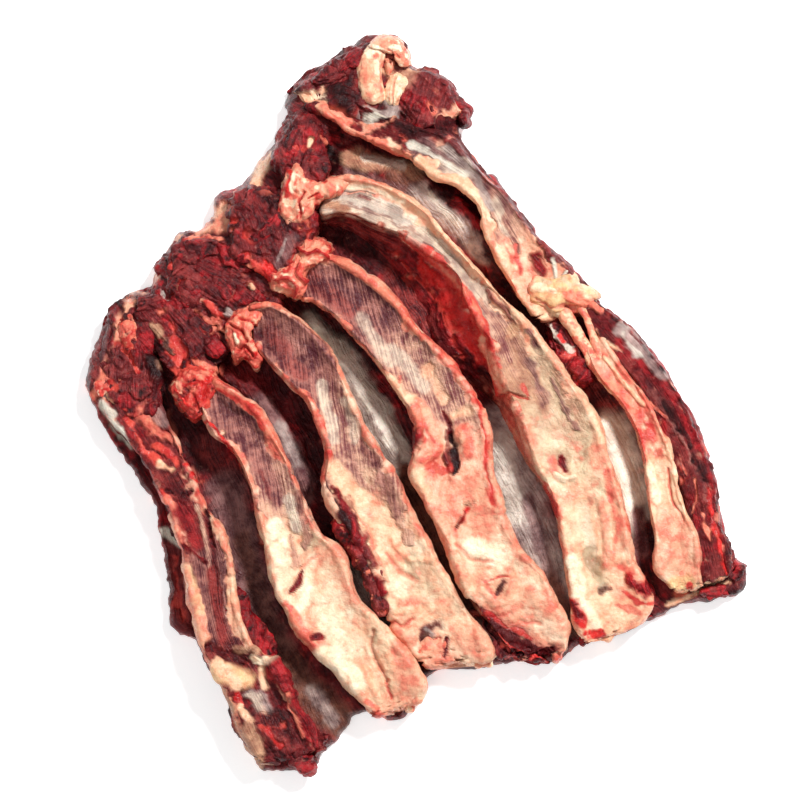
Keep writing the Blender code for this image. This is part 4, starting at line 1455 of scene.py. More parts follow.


# Marks of each piece, one a row: tissue, half width, plan points and what else it states.
# All of them are listed in the order in which they are laid.
MARKS: dict[str, str] = {
    # Fifth channel, with painted shade at its head.
    "rib_sheet": """
# Rim of the slab, from the head down its left side.
ROSE 10 108,312 98,342 92,372
PEACH 8 208,216 222,210 228,226 200,232 ragged=1
CREAM 9 256,182 262,165 274,156 ragged=1
PEACH 6 178,238 164,262 152,284 134,292 ragged=0.9
SILVER 7 104,402 116,424 130,442
ROSE 26 178,555 182,600 190,628 amount=0.8
CORAL 7 172,556 178,592 184,620 ragged=1.7 amount=0.7
MAROON 6 166,552 174,590 ragged=1.6 amount=0.7
SILVER 5 164,530 178,544
TAN 9 236,700 244,735 258,766
# Channel between the first two fingers.
MAROON 22 172,392 190,430 205,460
LEAN 15 205,445 232,478 246,500 amount=0.7
DUSK 26 225,490 240,540 255,600 275,650
UMBER 14 240,540 262,600 285,650 amount=0.6
UMBER 24 290,670 320,705 345,725
SLATE 10 312,690 335,722 amount=0.6
MAROON 12 330,668 352,690 372,706
# Second channel.
MEAT 24 240,366 268,385 290,400 ragged=1
DUSK 18 262,405 285,445 305,495
SLATE 9 280,425 298,462 amount=0.7
MAROON 10 300,400 318,450 322,500 336,550
SLATE 13 350,572 368,600 385,622
MAROON 8 368,575 386,610
# Third channel.
MAROON 12 300,305 340,330 372,360
SILVER 20 312,328 350,372 378,420 400,465 amount=0.9
SLATE 7 330,352 366,398 390,440 ragged=1.6 amount=0.5
DUSK 6 340,372 372,425 396,468 ragged=1.2 amount=0.6
UMBER 12 405,470 428,520 452,572 470,606
# Fourth channel.
MAROON 16 330,235 375,250 395,270
LEAN 30 400,285 450,340 490,395
CRIMSON 16 470,380 495,402 amount=0.8
SLATE 30 500,425 510,460 525,510 548,560 572,612
SILVER 16 502,440 506,475 516,515 amount=0.6
DUSK 10 528,500 545,560 566,610 amount=0.7
UMBER 11 548,580 572,622 586,640 amount=0.7
# Fifth channel.
BLACK 11 325,150 345,160 360,172
TAN 13 352,158 385,164 415,174
SILVER 6 365,158 400,166 amount=0.7
UMBER 10 390,176 430,198 470,240
DUSK 9 350,176 400,192 440,222
SLATE 15 420,192 450,218 485,256
SILVER 5 430,196 460,226 amount=0.7
MAROON 13 440,185 470,205 490,240 505,280 ragged=1.2
CRIMSON 6 455,195 478,226 ragged=1.4 lift=2
MAROON 12 510,290 540,335 575,380
LEAN 20 600,385 615,410 630,425
SILVER 32 610,436 620,470 630,515
SILVER 15 606,440 616,480 628,520 soft=1
DUSK 13 640,515 642,550
MAROON 7 650,525 654,560
# Cut tail edge.
MEAT 9 480,664 560,650 600,634 660,610 745,580
ROSE 5 690,600 720,590 742,574 ragged=1.2
CRIMSON 9 480,170 545,245 612,322 672,382 706,452 722,520 740,566
MEAT 8 270,768 312,764 326,744
CREAM 2.5 668,603 700,592 730,580
""",
    "finger_1": """
CRIMSON 20 150,400 160,425 lift=0.4
SALMON 12 138,398 150,422 162,442 ragged=1.2 lift=0.4
SLATE 9 150,408 164,422 amount=0.6
CORAL 4 128,420 142,446 158,462 ragged=1.4 lift=0.7
ROSE 9 150,440 172,452 190,476 ragged=1.2 lift=0.7
CORAL 4 156,446 176,462 ragged=1.4 lift=0.4
BLOOD 4 184,464 194,482 ragged=1.2 lift=0.4
MAROON 8 130,456 142,470 ragged=1
CREAM 4 160,465 170,469 ragged=1 lift=0.4
CORAL 8 150,484 162,496 ragged=1 lift=0.7
SALMON 6 166,498 174,505 ragged=1 lift=0.7
MEAT 8 172,486 190,492 ragged=1 lift=-1
PEACH 5 168,518 176,530 ragged=1.2 lift=0.7
CRIMSON 10 182,505 190,530 196,545 amount=0.8
LILAC 3 196,505 206,540 212,580 lift=0.6
MEAT 4 205,510 214,550 218,600 lift=-1
PEACH 3.6 200,474 214,500 223,532 230,572 ragged=0.9 lift=1.4
CRIMSON 4 184,546 205,560 ragged=1.4 lift=-1
PEACH 5/8/8 186,568 196,600 204,640 ragged=1 lift=1.5
OCHRE 5 190,570 200,610 ragged=1 amount=0.6
LEAN 8 212,570 218,610 224,640
MEAT 8 212,648 228,652 244,660 ragged=1.5 lift=-1
TAN 6 236,648 256,650 ragged=1 lift=1
OCHRE 13 222,672 246,680 lift=2
CREAM 8 218,664 236,684 ragged=1 lift=1
IVORY 6 255,660 272,662 ragged=1.2 lift=1.8
CREAM 5 262,668 264,686 lift=1
CRIMSON 13 276,668 288,690 lift=2.5
BLOOD 5 236,696 242,704 ragged=1
SLATE 10 252,694 266,710 ragged=1.3 amount=0.6
PEARL 6 252,696 262,710 ragged=1.8 amount=0.6
CREAM 5 240,706 252,722 ragged=1
LEAN 8 262,716 276,722 ragged=1.3 lift=-1
CORAL 4.5 260,728 270,736 ragged=1.8 lift=1.5 amount=0.8
SILVER 6 103,402 116,428 127,446 ragged=1
ROSE 9 270,736 290,748 ragged=1.2 lift=1
BLOOD 3.6 268,732 280,745 ragged=1.8 lift=1 amount=0.8
TAN 9 250,726 262,756 ragged=1
CRIMSON 12 296,700 308,724 318,742 ragged=0.9 lift=2
SALMON 2.5 286,694 298,720 304,738 ragged=1
MEAT 9 272,758 300,756 ragged=1
""",
    "finger_2": """
BLOOD 3 206,420 222,436 240,462 ragged=1
SALMON 5 214,384 236,396 256,414 272,438 lift=1
CORAL 3 220,388 246,404 266,430 ragged=1
MAROON 4 222,398 240,412 ragged=1 amount=0.7
PLUM 12 250,440 280,500
PEACH 6 236,450 252,486 ragged=1 amount=0.8
ROSE 3 262,470 272,500 ragged=1 amount=0.6
PLUM 7 298,494 304,520 307,542 ragged=1.5 amount=0.7
PEARL 9 290,500 296,528
IVORY 10 276,525 282,560 lift=1
LILAC 5 288,536 296,562 ragged=1.4 amount=0.6
IVORY 8 312,560 300,610 amount=0.8
CRIMSON 1/4/2.4 303,570 298,582 292,592 ragged=0.9 lift=-1.2
SALMON 1.6 302,567 310,558 322,556 lift=-0.6 amount=0.6
IVORY 26 330,590 345,640 amount=0.7
PEACH 12 335,540 342,575 352,600 amount=0.6
SALMON 6 286,604 300,625 312,645 ragged=1
CRIMSON 4.5 314,638 322,637 ragged=1.3 lift=-1
MEAT 2 315,638 320,636 ragged=1.5
CORAL 7 312,648 326,646 ragged=1.5 amount=0.7
IVORY 14 325,655 360,680 lift=1
PEACH 18 400,650 410,685 lift=2
PEACH 2.6 373,630 371,646 377,664 388,680 lift=-2.4 amount=0.8
CREAM 8 382,640 390,665 lift=2.2
SALMON 2 386,680 392,700 lift=-1.6
CREAM 5 364,668 380,700 lift=1.6
SALMON 3 366,700 376,708 ragged=1
PEACH 7 395,712 418,700 ragged=1 lift=1
CORAL 3 372,712 388,718 404,716 ragged=1.6 amount=0.8
CORAL 1.6 388,677
""",
    "finger_3": """
MAROON 9 262,330 280,350 amount=0.6
LEAN 12 272,332 300,372 amount=0.6
SALMON 4 250,306 272,302 296,310 lift=1.5
PEACH 3 300,316 330,345 352,388 lift=1
PEARL 8 322,385 334,440 amount=0.9
PEARL 6 345,400 356,440 amount=0.7
PLUM 5 362,440 376,462
CORAL 2.5 278,376 300,398 316,428 322,460 ragged=1
CREAM 14 336,470 360,500 lift=1
LILAC 6 392,478 400,500 408,540 ragged=1.6 amount=0.7
CREAM 9 370,500 392,540 amount=0.8
MAROON 2.4 327,482 334,494 ragged=1 lift=-1
CRIMSON 4/11/12/9/6 333,486 346,512 358,538 371,566 382,592 ragged=1.3 lift=1
MAROON 2/4/4/3 336,500 348,532 361,562 370,588 ragged=1.4 lift=-1.5
ROSE 2/4/3 350,508 364,540 376,572 ragged=1.6 lift=1
TAN 2 346,498 356,514 ragged=1.4 amount=0.8
PLUM 7 372,452 384,480 398,512 ragged=1 amount=0.8
PLUM 5 352,452 362,484 amount=0.6
PEACH 2.2 352,512 368,528 372,548 388,580 lift=1.5
HUSK 14 412,560 428,592 amount=0.7
CREAM 4 392,540 410,560 430,562 lift=1.4
PEACH 3 385,552 400,572 416,580 lift=-1.2
TAN 5 446,566 462,602 amount=0.7
PEACH 8 404,602 424,600 lift=1.6
CREAM 5 398,612 418,608 lift=1.5
PEACH 10 392,632 408,642 lift=2
SALMON 2.4 386,622 404,626 412,618 lift=-1.5
ROSE 5/11/8 422,642 427,630 435,623 ragged=1 lift=-2.2
UMBER 3/6/5 424,638 429,630 434,625 ragged=1.2
SLATE 4 426,628 433,634 ragged=1.2 amount=0.8
CORAL 2.4 418,652 430,646 440,640 ragged=1 lift=-1.6
PEACH 16 468,632 480,650 lift=1.5
CRIMSON 2.4 448,640 444,658 ragged=1.2 lift=-1.4
CREAM 12 452,610 470,628 amount=0.6
""",
    "finger_4": """
LEAN 13 310,278 350,310 amount=0.6
SALMON 4 305,262 332,258 362,274 392,300 424,338 lift=1
PEARL 9 360,320 392,360 amount=0.7
PEARL 9 392,350 425,385 amount=0.8
CREAM 12 384,380 408,398 ragged=1.2
CREAM 8 430,370 444,396 ragged=1 amount=0.8
CORAL 2.4 400,376 398,388 ragged=1.8 amount=0.6
CREAM 6/10 454,418 470,410 lift=1.5 soft=1
PEACH 10 420,405 436,432 434,450 lift=2.5
SALMON 6 414,410 424,440 ragged=1 lift=1
CORAL 2.4 424,424 434,442 amount=0.7
ROSE 3/8/6 446,430 449,452 452,470 ragged=1.2 amount=0.8
CRIMSON 1.6/4/3 443,412 449,422 450,432 ragged=1.2 lift=-1.6
MAROON 2/5.5/5/2 449,434 453,448 455,460 453,474 ragged=0.9 lift=-2.4
ROSE 3 444,458 450,470 ragged=1 lift=1.5
SALMON 9 466,430 470,455 lift=2
PEACH 7 462,440 458,432 lift=2
CRIMSON 10 404,448 418,436 ragged=1 lift=1.5
SALMON 5 420,460 434,456 440,446 ragged=1 lift=1.5
CORAL 6 428,466 446,470 ragged=1.4 amount=0.8
CREAM 9 416,478 432,498 ragged=1
PEACH 24 450,495 470,520 amount=0.8
BLOOD 2/5.5/4 456,529 463,519 469,510 ragged=1.2 lift=-1
CRIMSON 1/3.5/2 457,527 462,519 466,513 ragged=1.2
SALMON 1.6 470,520 484,515 500,514 lift=-0.8 amount=0.6
TAN 3 466,506 476,502 ragged=1.3 amount=0.7
CORAL 3 478,398 486,430 486,470 496,505 ragged=1 lift=-0.8
PEACH 3.4 484,410 491,440 490,476 503,512 lift=1.5
IVORY 14 470,546 500,560 lift=1
PEACH 8 470,530 500,530 520,548 amount=0.8
SALMON 2.4 456,545 470,560 490,562 lift=-0.8 amount=0.5
PEACH 5 482,590 492,604 508,600 514,586 lift=2
CORAL 4 484,580 492,596 ragged=1 amount=0.7
ROSE 3/6 496,593 504,583 ragged=1.2 lift=-2.5
UMBER 1.6/3.4 496,592 504,584 ragged=1.6 amount=0.8
CORAL 1.6 482,580 498,578 508,577 ragged=1.4 lift=-1.2
SALMON 2.4 472,610 490,618 510,612 lift=-1 amount=0.6
SALMON 2.4 500,628 520,620 540,626 lift=-1 amount=0.6
PEACH 10 530,590 548,610 lift=1.4
CRIMSON 5/16/21/17 470,602 492,626 516,644 546,658 ragged=1.3 lift=-2.5
MAROON 3/6/4 480,620 502,644 526,656 ragged=1.5 lift=-1.5
ROSE 6 490,618 510,634 536,646 ragged=1.5 lift=1
CORAL 3.4 486,612 506,626 530,638 ragged=1.7 lift=1
CORAL 2.2 496,634 510,646 524,652 ragged=1.6 lift=1.5
BLOOD 3 478,614 486,624 ragged=1.4
""",
    "finger_5": """
TAN 8 326,204 344,210 ragged=1
ROSE 5/9/7 386,262 424,310 452,360 ragged=1.7
CORAL 2/3.4/2 404,262 438,304 462,352 ragged=1.8 amount=0.8
PLUM 3/5/4 370,250 404,290 436,340 ragged=1.6 amount=0.6
PEACH 7 318,190 346,181 386,190
SALMON 2 330,196 360,190 392,200 ragged=1.4 amount=0.7
CREAM 9 386,190 420,211 450,242 478,272 508,304 soft=1
IVORY 4 330,184 370,186 404,202 soft=1
PLUM 6 350,202 392,216 426,238 ragged=1 amount=0.6
LILAC 4 360,196 400,212
PEARL 8 420,228 452,258 480,296
SILVER 6 340,197 378,204 410,222 ragged=1.4 amount=0.55
PLUM 2.5 424,244 450,262 amount=0.8
BLOOD 8/14/14/8 418,262 446,290 466,324 484,362 ragged=1.2 amount=0.8
CORAL 3/6/7/6/4 404,238 446,268 467,296 483,330 493,366 499,396 ragged=0.8 lift=2
SALMON 2.2 440,262 466,292 484,332 494,372 ragged=1.2
ROSE 3.4 486,290 504,308 516,326 amount=0.8
LILAC 4 480,300 500,330 512,360
PEACH 5 484,340 496,372 506,392 ragged=1
OCHRE 9 512,330 530,370 ragged=1 amount=0.5
PLUM 3.5 530,332 540,352 ragged=1
HUSK 12 538,356 562,412 amount=0.7
PLUM 8 516,340 532,372 544,400 ragged=1 amount=0.7
DUSK 5 528,360 540,388 ragged=1 amount=0.6
PLUM 3.5 552,378 568,412 576,430 ragged=1 amount=0.8
SALMON 1.8 497,397 512,395 528,398 lift=-2
CORAL 3 522,386 528,396 ragged=1.3 amount=0.8
HUSK 11 530,410 548,450 amount=0.7
PEACH 6 524,420 540,462 ragged=1.2 amount=0.6
CREAM 9 560,350 590,395 604,440 lift=0.8
CRIMSON 5/7/4 561,458 564,466 566,470 ragged=0.8 lift=-1
SALMON 6 552,462 558,474 ragged=1.2 amount=0.8
IVORY 3.2 557,474 566,479 574,476 lift=2
CORAL 4 544,488 552,502 557,516 ragged=1.2
SALMON 6 558,530 562,556 ragged=1 amount=0.7
PEACH 8 600,450 616,500 624,545 ragged=1
SALMON 4 604,470 618,520 612,556 ragged=1.4 amount=0.7
CORAL 4 628,528 634,540 ragged=1.4 amount=0.8
IVORY 9 580,505 590,545 594,575 lift=-2
PEACH 5 600,500 606,540 606,566 lift=1.8
HUSK 8 588,552 604,590 lift=-2
IVORY 9 574,560 580,600 594,622 lift=1.5
SALMON 6 618,565 634,572 ragged=1.3
BLOOD 11 630,580 646,588 ragged=1.4 lift=1
CRIMSON 9 634,582 648,590 ragged=1.5
CORAL 4 622,592 640,602 655,602 ragged=1.4
ROSE 4 604,592 611,590 ragged=1.4 lift=-0.6 amount=0.7
BLOOD 6/9/6 573,602 577,612 580,624 ragged=1
CRIMSON 5 574,604 578,616 ragged=1.3
BLOOD 6 588,632 600,636 ragged=1.3
CREAM 8 610,610 622,618 ragged=1 lift=1
CORAL 4 618,606 640,612 ragged=1.8 amount=0.7
""",
    "finger_6_upper": """
PEACH 12 302,100 322,100 ragged=1.2 lift=1.5
SALMON 5 326,112 348,132 372,143 404,156 ragged=1.2 lift=2
PEACH 4 368,128 392,122 396,112 ragged=1.3 lift=2
SILVER 10 372,116 388,112 ragged=1.1
MAROON 9 400,128 440,134 ragged=0.8
SILVER 5 412,144 446,160 464,176 amount=0.8
DUSK 5 436,150 462,164 amount=0.9
SLATE 6 448,148 476,178 492,206 amount=0.8
CREAM 6 420,160 440,178 466,192 482,224 lift=0.8
PEACH 5 484,224 494,250 508,280 528,300 ragged=0.9 lift=0.6
PEARL 7 496,200 508,232 amount=0.8
LILAC 5 506,216 518,250
SALMON 4 502,240 512,262 ragged=1.5 amount=0.8
CORAL 3 516,246 520,272 ragged=1.6 amount=0.8
CRIMSON 10 536,258 542,272 ragged=1.1 lift=1
PEACH 3 538,258 546,268 ragged=1.6
SILVER 3 553,258 557,278 lift=1
SILVER 2.2 566,270 560,280 lift=1
MEAT 9 572,282 584,294 ragged=1
CREAM 8 534,300 548,316 lift=1
SALMON 8 566,302 584,316 ragged=0.9 lift=1
""",
    "finger_6_lower": """
CREAM 3 604,358 624,384 644,404 ragged=0.8 lift=1.5
CORAL 7 640,412 650,436 656,452 ragged=1.4 lift=1 amount=0.6
CREAM 7 668,440 680,470 ragged=1.1 lift=1
IVORY 6 650,465 656,500 lift=1
SALMON 2 668,470 672,500 684,520 lift=-1
PEACH 16 672,520 678,555 lift=1
OCHRE 9 676,585 690,580 lift=1
CORAL 4.5 690,584 ragged=0.8
""",
    "border_muscle": """
SLATE 9 620,330 640,350 660,374 ragged=1.2 amount=0.7
SILVER 3 622,336 640,356 ragged=1.3 amount=0.5
CREAM 4 604,340 616,350 ragged=1 lift=1
SALMON 4 586,304 600,312 ragged=1
PEACH 1.8 598,330 606,346 622,352 ragged=1.3 amount=0.8
TAN 2 612,368 630,382 648,402 ragged=1.8 amount=0.8
ROSE 8 618,366 640,378 ragged=1.2
ROSE 7 650,392 672,416 684,440 ragged=1.4
SALMON 1.6 650,400 664,416 680,424 ragged=1.5
TAN 2.6 670,436 684,446 692,462 ragged=1.8
CRIMSON 9 684,446 694,480 700,520 ragged=1
SALMON 2 680,454 685,474 ragged=1.7
ROSE 9 672,430 694,470 706,520 ragged=1.5
PLUM 4 676,428 696,462 ragged=1.6 amount=0.8
PLUM 6 648,384 690,440 706,492 ragged=1.9 amount=0.5
MAROON 5 664,404 690,440 704,480 ragged=1.5 lift=-1
SALMON 1.8 694,480 697,500 692,514 ragged=1.6
CRIMSON 4 640,362 676,404 704,452 716,496 ragged=1
BLOOD 3 708,490 714,530 722,560 726,574 ragged=1.3 lift=1
SALMON 3 704,514 708,540 ragged=1.4
ROSE 9 712,560 716,575 ragged=1
CREAM 2.4 700,582 716,580 728,577 lift=1
""",
    "flap_top": """
MAROON 22 340,80 348,100 ragged=1
MEAT 18 320,76 345,66
MAROON 10 340,92 346,104 lift=-3
CREAM 8 290,104 306,96 322,92 ragged=1.5 lift=1.5
IVORY 6 312,92 324,96 ragged=1.4 lift=1
OCHRE 6 290,100 292,118 ragged=1
TAN 12 396,78 410,82 amount=0.8
SLATE 9 388,98 394,108 amount=0.8
SILVER 4 372,110 390,114 ragged=1
TAN 5 384,72 402,76 416,72
SLATE 9 366,112 392,116 ragged=1
ROSE 20 420,88 430,104 ragged=0.8 lift=2
CRIMSON 12 408,98 424,104 ragged=1.2
MEAT 12 440,84 450,96 lift=1
SALMON 4 430,104 436,112 ragged=1 lift=1.5
PEACH 6 440,118 452,115 458,108 ragged=1.5 lift=1.2
CREAM 5 448,122 454,128 ragged=1.4 lift=1
CORAL 4 440,120 444,126 ragged=1
""",
    "flap_5": """
MEAT 20 290,150 298,190 amount=0.6
CORAL 5 292,150 306,146 ragged=1.6 amount=0.8
CRIMSON 10 306,136 318,150 ragged=1.4
CREAM 2.5 312,140 310,146 ragged=1
ROSE 9 312,168 318,182 ragged=1.2
""",
    "flap_4": """
MEAT 28 258,208 270,246 amount=0.85
MAROON 10 272,200 288,222 ragged=1
DUSK 8 292,236 282,256 274,270 ragged=1.2 amount=0.7
SLATE 2 286,240 278,260 ragged=1 amount=0.5
CORAL 5 246,256 262,268 272,280 ragged=1.6 lift=1.5
BLOOD 6 266,262 272,272 ragged=1.4
PEACH 2.5 232,194 236,198 ragged=1
""",
    "flap_3": """
MEAT 30 215,270 250,290 amount=0.6
CRIMSON 10 186,256 206,246 ragged=1.2
ROSE 8 180,272 198,276 ragged=1.4 lift=1.5
CORAL 4 182,280 196,290 ragged=1.5 lift=1
PEACH 3.5 182,290 190,296 204,300 ragged=1.8 lift=0.6 amount=0.8
SALMON 3.5 184,298 198,316 216,328 232,338 ragged=1.6 lift=1
CORAL 4 206,302 216,314 ragged=1.6
SLATE 5 228,312 236,318 ragged=1 amount=0.8
CREAM 2.2 252,284 254,288 ragged=1 lift=1
""",
    "flap_2": """
MAROON 13 146,336 152,352 ragged=1 lift=-4
TAN 6 152,326 160,334 ragged=1.2
UMBER 5 166,340 174,350 ragged=1.2
CORAL 4.5 174,340 184,352 180,362 ragged=1.8 lift=0.6
MEAT 14 186,328 206,350 lift=1
CRIMSON 10 156,300 184,298 ragged=1.2
SLATE 4 164,294 170,298 ragged=1
MAROON 12 214,352 230,368 lift=-4
SALMON 4 196,362 208,368 222,372 ragged=1.3 lift=1
""",
    "flap_1": """
DUSK 4 108,326 103,344 98,364 amount=0.8
PEACH 4.5 130,300 120,322 118,344 104,362 ragged=1.8 lift=0.8
CORAL 5 116,346 132,348 ragged=1.4 lift=1
PEACH 3.5 92,378 104,364 ragged=1 lift=1
SILVER 3 92,380 98,382 ragged=0.8
ROSE 16 116,358 140,390 ragged=1.4 lift=1
CORAL 4 124,352 138,372 ragged=1.7
CORAL 6 102,374 112,384 104,392 ragged=1.3 amount=0.8
CREAM 5/7 106,396 112,412 ragged=0.8
MAROON 8 152,360 160,380 ragged=1 lift=-3
TAN 6 160,366 168,376 ragged=1.2 amount=0.8
""",
    "fat_pad": """
IVORY 6 536,288 552,290 ragged=1.3 lift=1 amount=0.7
PEACH 2.4 536,300 552,306 566,304 ragged=1 lift=-1
SALMON 8 572,296 590,308 ragged=1
""",
    "loop_left": """
SALMON 2 383,50 380,70 382,94 ragged=1 amount=0.7
PEACH 3 366,62 364,84 370,100 amount=0.7
""",
    "loop_top": """
SALMON 2 388,50 400,58 lift=-1.5
""",
    "loop_lobe": """
PEACH 1.6 397,74 394,90 392,104 lift=-0.8 amount=0.7
""",
    "tongue": """
BLOOD 4 292,172 288,192 ragged=1.5
IVORY 3 294,178 291,192 ragged=1.2 lift=1
CORAL 1.8 304,190 298,204 300,218 lift=-2.5
CORAL 1.4 318,192 308,198 lift=-2
BLOOD 3 278,196 280,212 ragged=1.2
""",
    "knob_4": """
BLOOD 2.4 300,248 308,254 318,252 326,256 lift=-2.5
CORAL 2 276,280 288,278 296,286 294,296 lift=-2.6
CORAL 1.6 300,262 296,272 304,282 lift=-2
PEACH 4 306,242 318,243 lift=1.2
PEACH 4 276,288 288,292 lift=1.4
""",
    "knob_3": """
CORAL 1.8 232,326 242,330 246,342 lift=-2.6
BLOOD 1.8 240,318 250,320 254,328 lift=-2
CORAL 1.6 238,350 246,346 252,356 lift=-2.4
IVORY 2.4 236,334 240,342 lift=1.2
""",
    "knob_2": """
BLOOD 3 184,386 196,382 206,388 204,400 lift=-1.4
BLOOD 2 176,392 186,404 196,414 lift=1.2
SALMON 3 190,372 206,374 lift=1.2
CORAL 2 192,396 196,408 lift=-2
""",
    "torn_lobe": """
SILVER 3.4 548,324 560,340 572,352 ragged=1.8 amount=0.8
CRIMSON 8 574,362 584,376 ragged=1 lift=1.5
BLOOD 4 560,336 564,342 ragged=1
""",
    "tail_muscle": """
CORAL 6 500,634 516,646 ragged=1.5 lift=1.5
BLOOD 4 536,656 546,660 ragged=1.2
BLACK 8 476,622 488,638 ragged=1
""",
}


def make_sheet() -> Sheet:
    """Describes the sheet."""
    return Sheet(
        head=traced("90,400 86,380 91,362 97,343 104,322 116,305 130,292 148,287 158,270 168,250 "
                    "180,233 198,230 212,216 217,195 235,187 250,177 260,158 272,147 282,128 "
                    "289,118 285,105 293,88 310,72 335,63 350,50 362,39 378,35"),
        right=traced("378,35 392,38 405,44 410,62 422,70 436,73 450,81 459,97 473,108 463,122 "
                     "454,133 461,146 472,155 484,172 497,178 508,194 519,214 533,226 541,241 "
                     "556,253 575,268 590,291 612,319 634,330 650,347 668,372 682,397 696,420 "
                     "708,453 717,483 720,512 727,540 735,557 748,566"),
        tail=traced("748,566 744,592 722,597 700,602 675,607 656,618 640,624 612,632 585,642 "
                    "572,651 549,664 525,659 497,665 470,669 437,668 427,678 424,693 412,709 "
                    "393,720 366,712 352,716 341,736 325,750 313,771 290,769 262,772"),
        left=traced("262,772 246,745 235,712 220,685 205,662 194,640 176,632 169,612 168,578 "
                    "161,545 159,518 150,497 138,477 118,450 105,426 90,400"),
        swells=[
            (traced("112,380 150,322 190,276 232,232 266,190 298,142 330,100 380,78 425,100"),
             56, 0.016),
            (traced("500,420 515,480 538,540 562,600"), 26, 0.004),
            (traced("345,165 400,176 450,205 500,262"), 34, 0.012),
            (traced("605,430 622,480 632,530"), 22, 0.008),
            (traced("222,372 250,388 276,430 300,480"), 22, 0.009),
            (traced("318,330 350,372 378,420 400,465"), 20, 0.006),
        ],
    )


